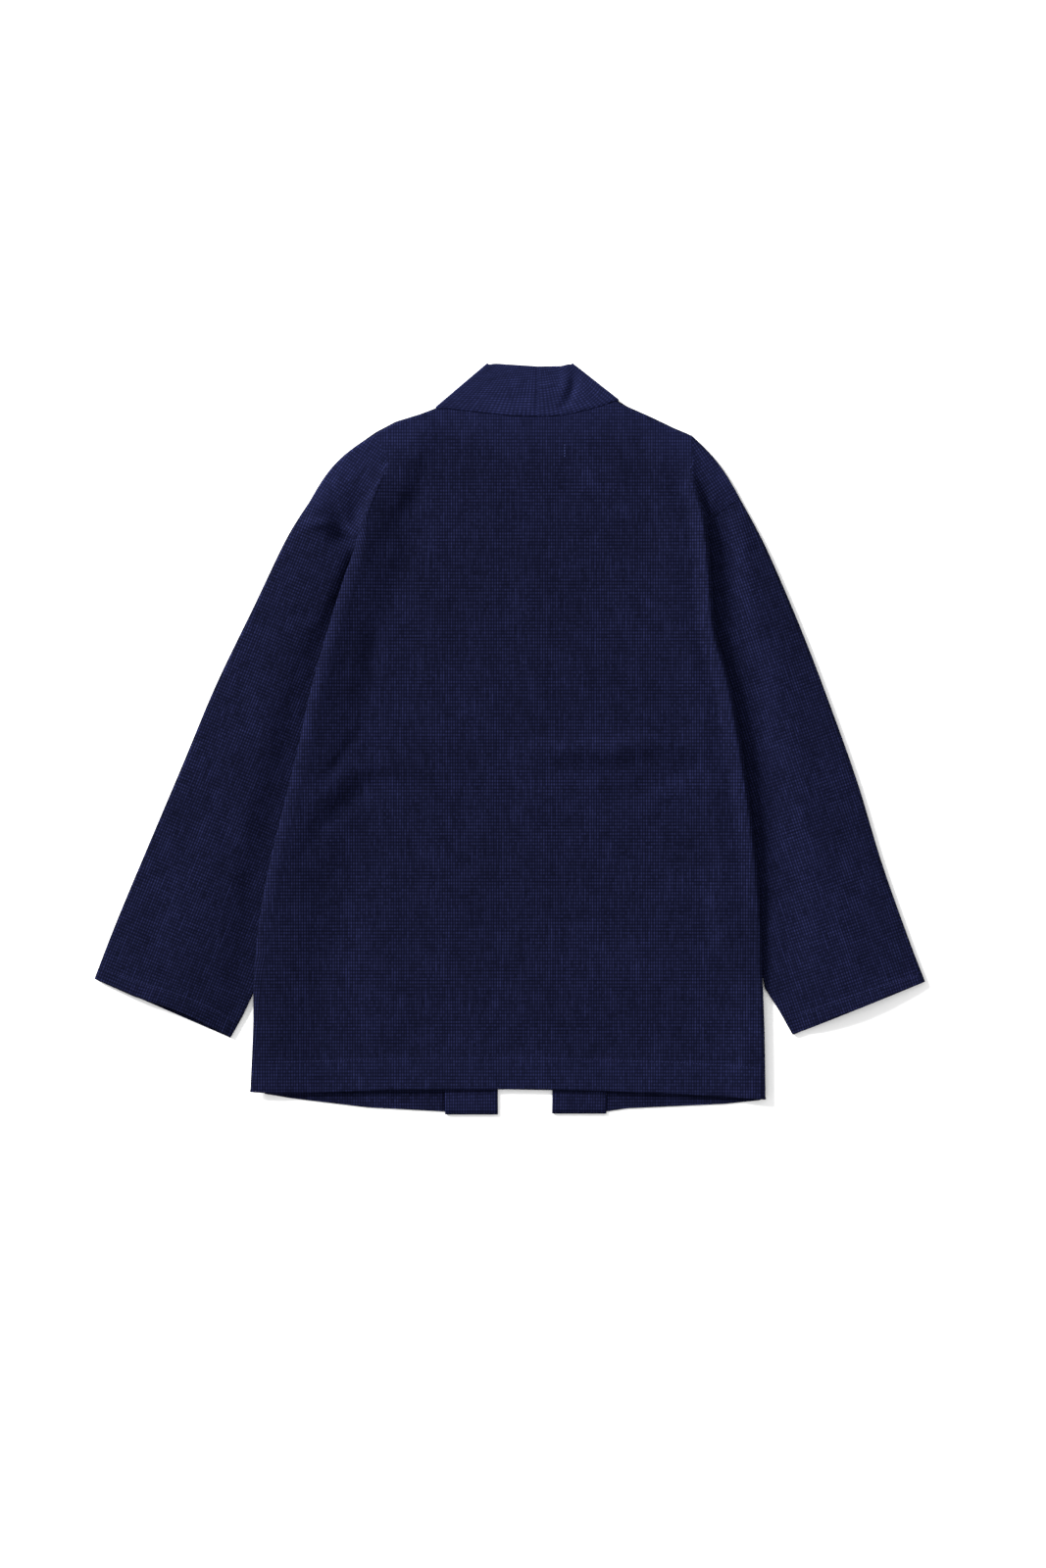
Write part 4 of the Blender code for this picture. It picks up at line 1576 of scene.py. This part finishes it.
@dataclass
class Stitching:
    """Rows of machine stitches, each stitch a small raised loop of thread in one joined piece."""

    name: str
    slot: str
    material: bpy.types.Material
    pitch: float = 3.4
    stitch_length: float = 2.5
    stitch_width: float = 0.62
    stitch_rise: float = 0.30

    def build(self, lines: Sequence[Sequence[Vector]]) -> bpy.types.Object:
        """Sews along some lines.

        Args:
            lines: Lines of places on top of the cloth.

        Returns:
            The joined stitches.
        """
        threads = bmesh.new()
        size = Matrix.Diagonal((self.stitch_length / 2, self.stitch_width / 2,
                                self.stitch_rise, 1.0))
        for line in lines:
            for place, way in self.spaced(line):
                turn = way.to_track_quat("X", "Z").to_matrix().to_4x4()
                spot = Matrix.Translation((place - MIDDLE) * MM)
                bmesh.ops.create_uvsphere(threads, u_segments=6, v_segments=4, radius=MM,
                                          matrix=spot @ turn @ size)
        piece = finished_object(self.name, threads, self.material)
        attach(piece, "root")
        LOG.info("%s: %d faces", self.name, len(piece.data.polygons))
        return piece

    def spaced(self, line: Sequence[Vector]) -> list[tuple[Vector, Vector]]:
        """Spaces the stitches along one line.

        Args:
            line: The line's places.

        Returns:
            The place and direction of each stitch.
        """
        found = []
        left = self.pitch / 2
        for start, end in zip(line, line[1:]):
            run = end - start
            length = run.length
            while left < length:
                found.append((start + run * (left / length), run.normalized()))
                left += self.pitch
            left -= length
        return found


@dataclass
class HappiCoat:
    """The whole coat: the back, the fronts, the two halves of the neck band and the sleeves."""

    cotton: DobbyCotton
    band_cotton: DobbyCotton
    thread: SewingThread
    tack_thread: SewingThread
    back: BackPanel = field(default_factory=lambda: BackPanel(
        "back", "indigo_cotton", flat=(0.66, 0.76), area=0.47, held="folded",
        rests_on=("sleeve_left", "sleeve_right", "front_left", "front_right")))
    fronts: tuple[FrontPanel, ...] = field(default_factory=lambda: (
        FrontPanel("front_left", "indigo_cotton", flat=(0.22, 0.76), area=0.125,
                   rests_on=("floor",), arm=Arm.LEFT),
        FrontPanel("front_right", "indigo_cotton", flat=(0.21, 0.77), area=0.115,
                   rests_on=("floor",), arm=Arm.RIGHT)))
    bands: tuple[NeckBand, ...] = field(default_factory=lambda: (
        NeckBand("band_left", "band_cotton", flat=(0.11, 0.86), held="folded",
                 rests_on=("front_left", "floor"), arm=Arm.LEFT),
        NeckBand("band_right", "band_cotton", flat=(0.11, 0.86), held="folded",
                 rests_on=("front_right", "floor"), arm=Arm.RIGHT)))
    sleeves: tuple[Sleeve, ...] = field(default_factory=lambda: (
        Sleeve("sleeve_left", "indigo_cotton", flat=(0.49, 0.57), area=0.165, held="folded",
               rests_on=("floor",), arm=Arm.LEFT, cuff_slip=4.6, cuff_lift=2.2,
               shoulder_sheen=0.08),
        Sleeve("sleeve_right", "indigo_cotton", flat=(0.49, 0.57), area=0.165, held="folded",
               rests_on=("floor",), arm=Arm.RIGHT, valley=22.0, top_billow=7.0,
               top_slope_reach=22.0, pale_and_sheen=0.03)))
    # The hem's stitch line, and the two short rows of tacks below the collar.
    hem_span: tuple[float, float] = (-272.0, 268.0)
    hem_points: int = 60
    faint_tack: tuple[float, ...] = (9.1, 319.0, 314.0, 311.0)
    pale_tack: tuple[float, ...] = (60.5, 323.0, 315.5, 308.0)
    rings_before_hem: int = 4
    height_weight: float = 0.02

    def build(self) -> None:
        """Builds and sews every piece of the coat."""
        cloth = self.cotton.material()
        band_cloth = self.band_cotton.material()
        thread = self.thread.material()
        back = self.back.build(cloth)
        hem_sewing = Stitching("back_stitches", "indigo_cotton", thread)
        tack_sewing = Stitching("neck_tacks", "indigo_cotton", self.tack_thread.material(),
                                pitch=3.0, stitch_length=2.4)
        sewn = [hem_sewing.build([self.hem_line(), self.tack_line(self.faint_tack)]),
                tack_sewing.build([self.tack_line(self.pale_tack)])]
        self.back.declare(back, sewn)
        for front in self.fronts:
            front.declare(front.build(cloth), [])
        for band in self.bands:
            band.declare(band.build(band_cloth), [])
        for sleeve in self.sleeves:
            piece = sleeve.build(cloth)
            sewing = Stitching(f"{sleeve.name}_stitches", "indigo_cotton", thread)
            sleeve.declare(piece, [sewing.build([self.cuff_line(sleeve)])])

    def top_at(self, x: float, y: float) -> Vector:
        """Finds the place on top of the back over a place on the surface.

        Args:
            x: Place across the coat.
            y: Place along the coat.

        Returns:
            The place, a little above the cloth.
        """
        best = min(
            (point.place for row in self.back.grid for point in row),
            key=lambda place: hypot(place.x - x, place.y - y) - self.height_weight * place.z,
        )
        return Vector((x, y, best.z + STITCH_LIFT))

    def hem_line(self) -> list[Vector]:
        """Follows the stitch line of the back's hem.

        Returns:
            Places on the cloth.
        """
        line = []
        for step in range(self.hem_points + 1):
            x = blend(*self.hem_span, step / self.hem_points)
            line.append(self.top_at(x, height_on_line(BACK_HEM, x) + HEM_DEPTH))
        return line

    def tack_line(self, tack: tuple[float, ...]) -> list[Vector]:
        """Follows an upright row of tacks, given as its x and the heights of its points."""
        return [self.top_at(tack[0], y) for y in tack[1:]]

    def cuff_line(self, sleeve: Sleeve) -> list[Vector]:
        """Follows the stitch line of a cuff's hem.

        Args:
            sleeve: The sleeve, already built.

        Returns:
            Places on the upper layer.
        """
        ring = round(len(sleeve.grid) * (1.0 - CUFF_HEM_DEPTH / SLEEVE_LENGTH))
        upper = sleeve.grid[ring - self.rings_before_hem][1:sleeve.width_columns]
        return [point.place + Vector((0.0, 0.0, STITCH_LIFT)) for point in upper]


@dataclass
class Studio:
    """The pale floor, soft light and the camera straight above."""

    paper: PaleFloor = PaleFloor()
    floor_half: float = 6.0
    floor_drop: float = 0.0004
    camera_place: tuple[float, float, float] = (0.0145, -0.0491, 4.043)
    lens: float = 85.0
    sensor: float = 36.0
    sky_strength: float = 0.92
    key_strength: float = 11.0
    key_softness: float = radians(16)
    key_height: float = radians(21)
    key_turn: float = radians(142)
    key_place: tuple[float, float, float] = (-2.0, 1.2, 1.5)

    def build(self) -> None:
        """Sets up the floor, lights and camera."""
        surface = bmesh.new()
        bmesh.ops.create_grid(surface, x_segments=1, y_segments=1, size=self.floor_half,
                              matrix=Matrix.Translation((0.0, 0.0, -self.floor_drop)))
        finished_object("floor", surface, self.paper.material())
        self.build_light()
        self.build_camera()

    def build_light(self) -> None:
        """Adds an even white sky, and a soft key light low over the floor from the upper left."""
        data = bpy.data.lights.new("Key", "SUN")
        data.energy = self.key_strength
        data.angle = self.key_softness
        key = bpy.data.objects.new("Key", data)
        key.location = self.key_place
        key.rotation_euler = Euler((0.0, pi / 2 - self.key_height, self.key_turn), "XYZ")
        bpy.context.scene.collection.objects.link(key)
        world = bpy.data.worlds.new("Studio")
        world.use_nodes = True
        sky = world.node_tree.nodes["Background"]
        sky.inputs["Color"].default_value = (1.0, 1.0, 1.0, 1.0)
        sky.inputs["Strength"].default_value = self.sky_strength
        bpy.context.scene.world = world
        bpy.context.scene.view_settings.view_transform = "Standard"

    def build_camera(self) -> None:
        """Adds the camera, which looks straight down."""
        data = bpy.data.cameras.new("Camera")
        data.lens = self.lens
        data.sensor_width = self.sensor
        camera = bpy.data.objects.new("Camera", data)
        camera.location = self.camera_place
        bpy.context.scene.collection.objects.link(camera)
        bpy.context.scene.camera = camera


def main() -> None:
    """Builds the coat and the studio."""
    logging.basicConfig(level=logging.INFO, format="%(name)s %(message)s")
    HappiCoat(
        cotton=DobbyCotton("Dark indigo dobby cotton", "indigo_cotton"),
        band_cotton=DobbyCotton("Indigo cotton of the neck band", "band_cotton"),
        thread=SewingThread("Indigo sewing thread", "indigo_cotton", "#1c1f42"),
        tack_thread=SewingThread("Faded blue sewing thread", "indigo_cotton", "#3a4270"),
    ).build()
    Studio().build()


if __name__ == "__main__":
    main()
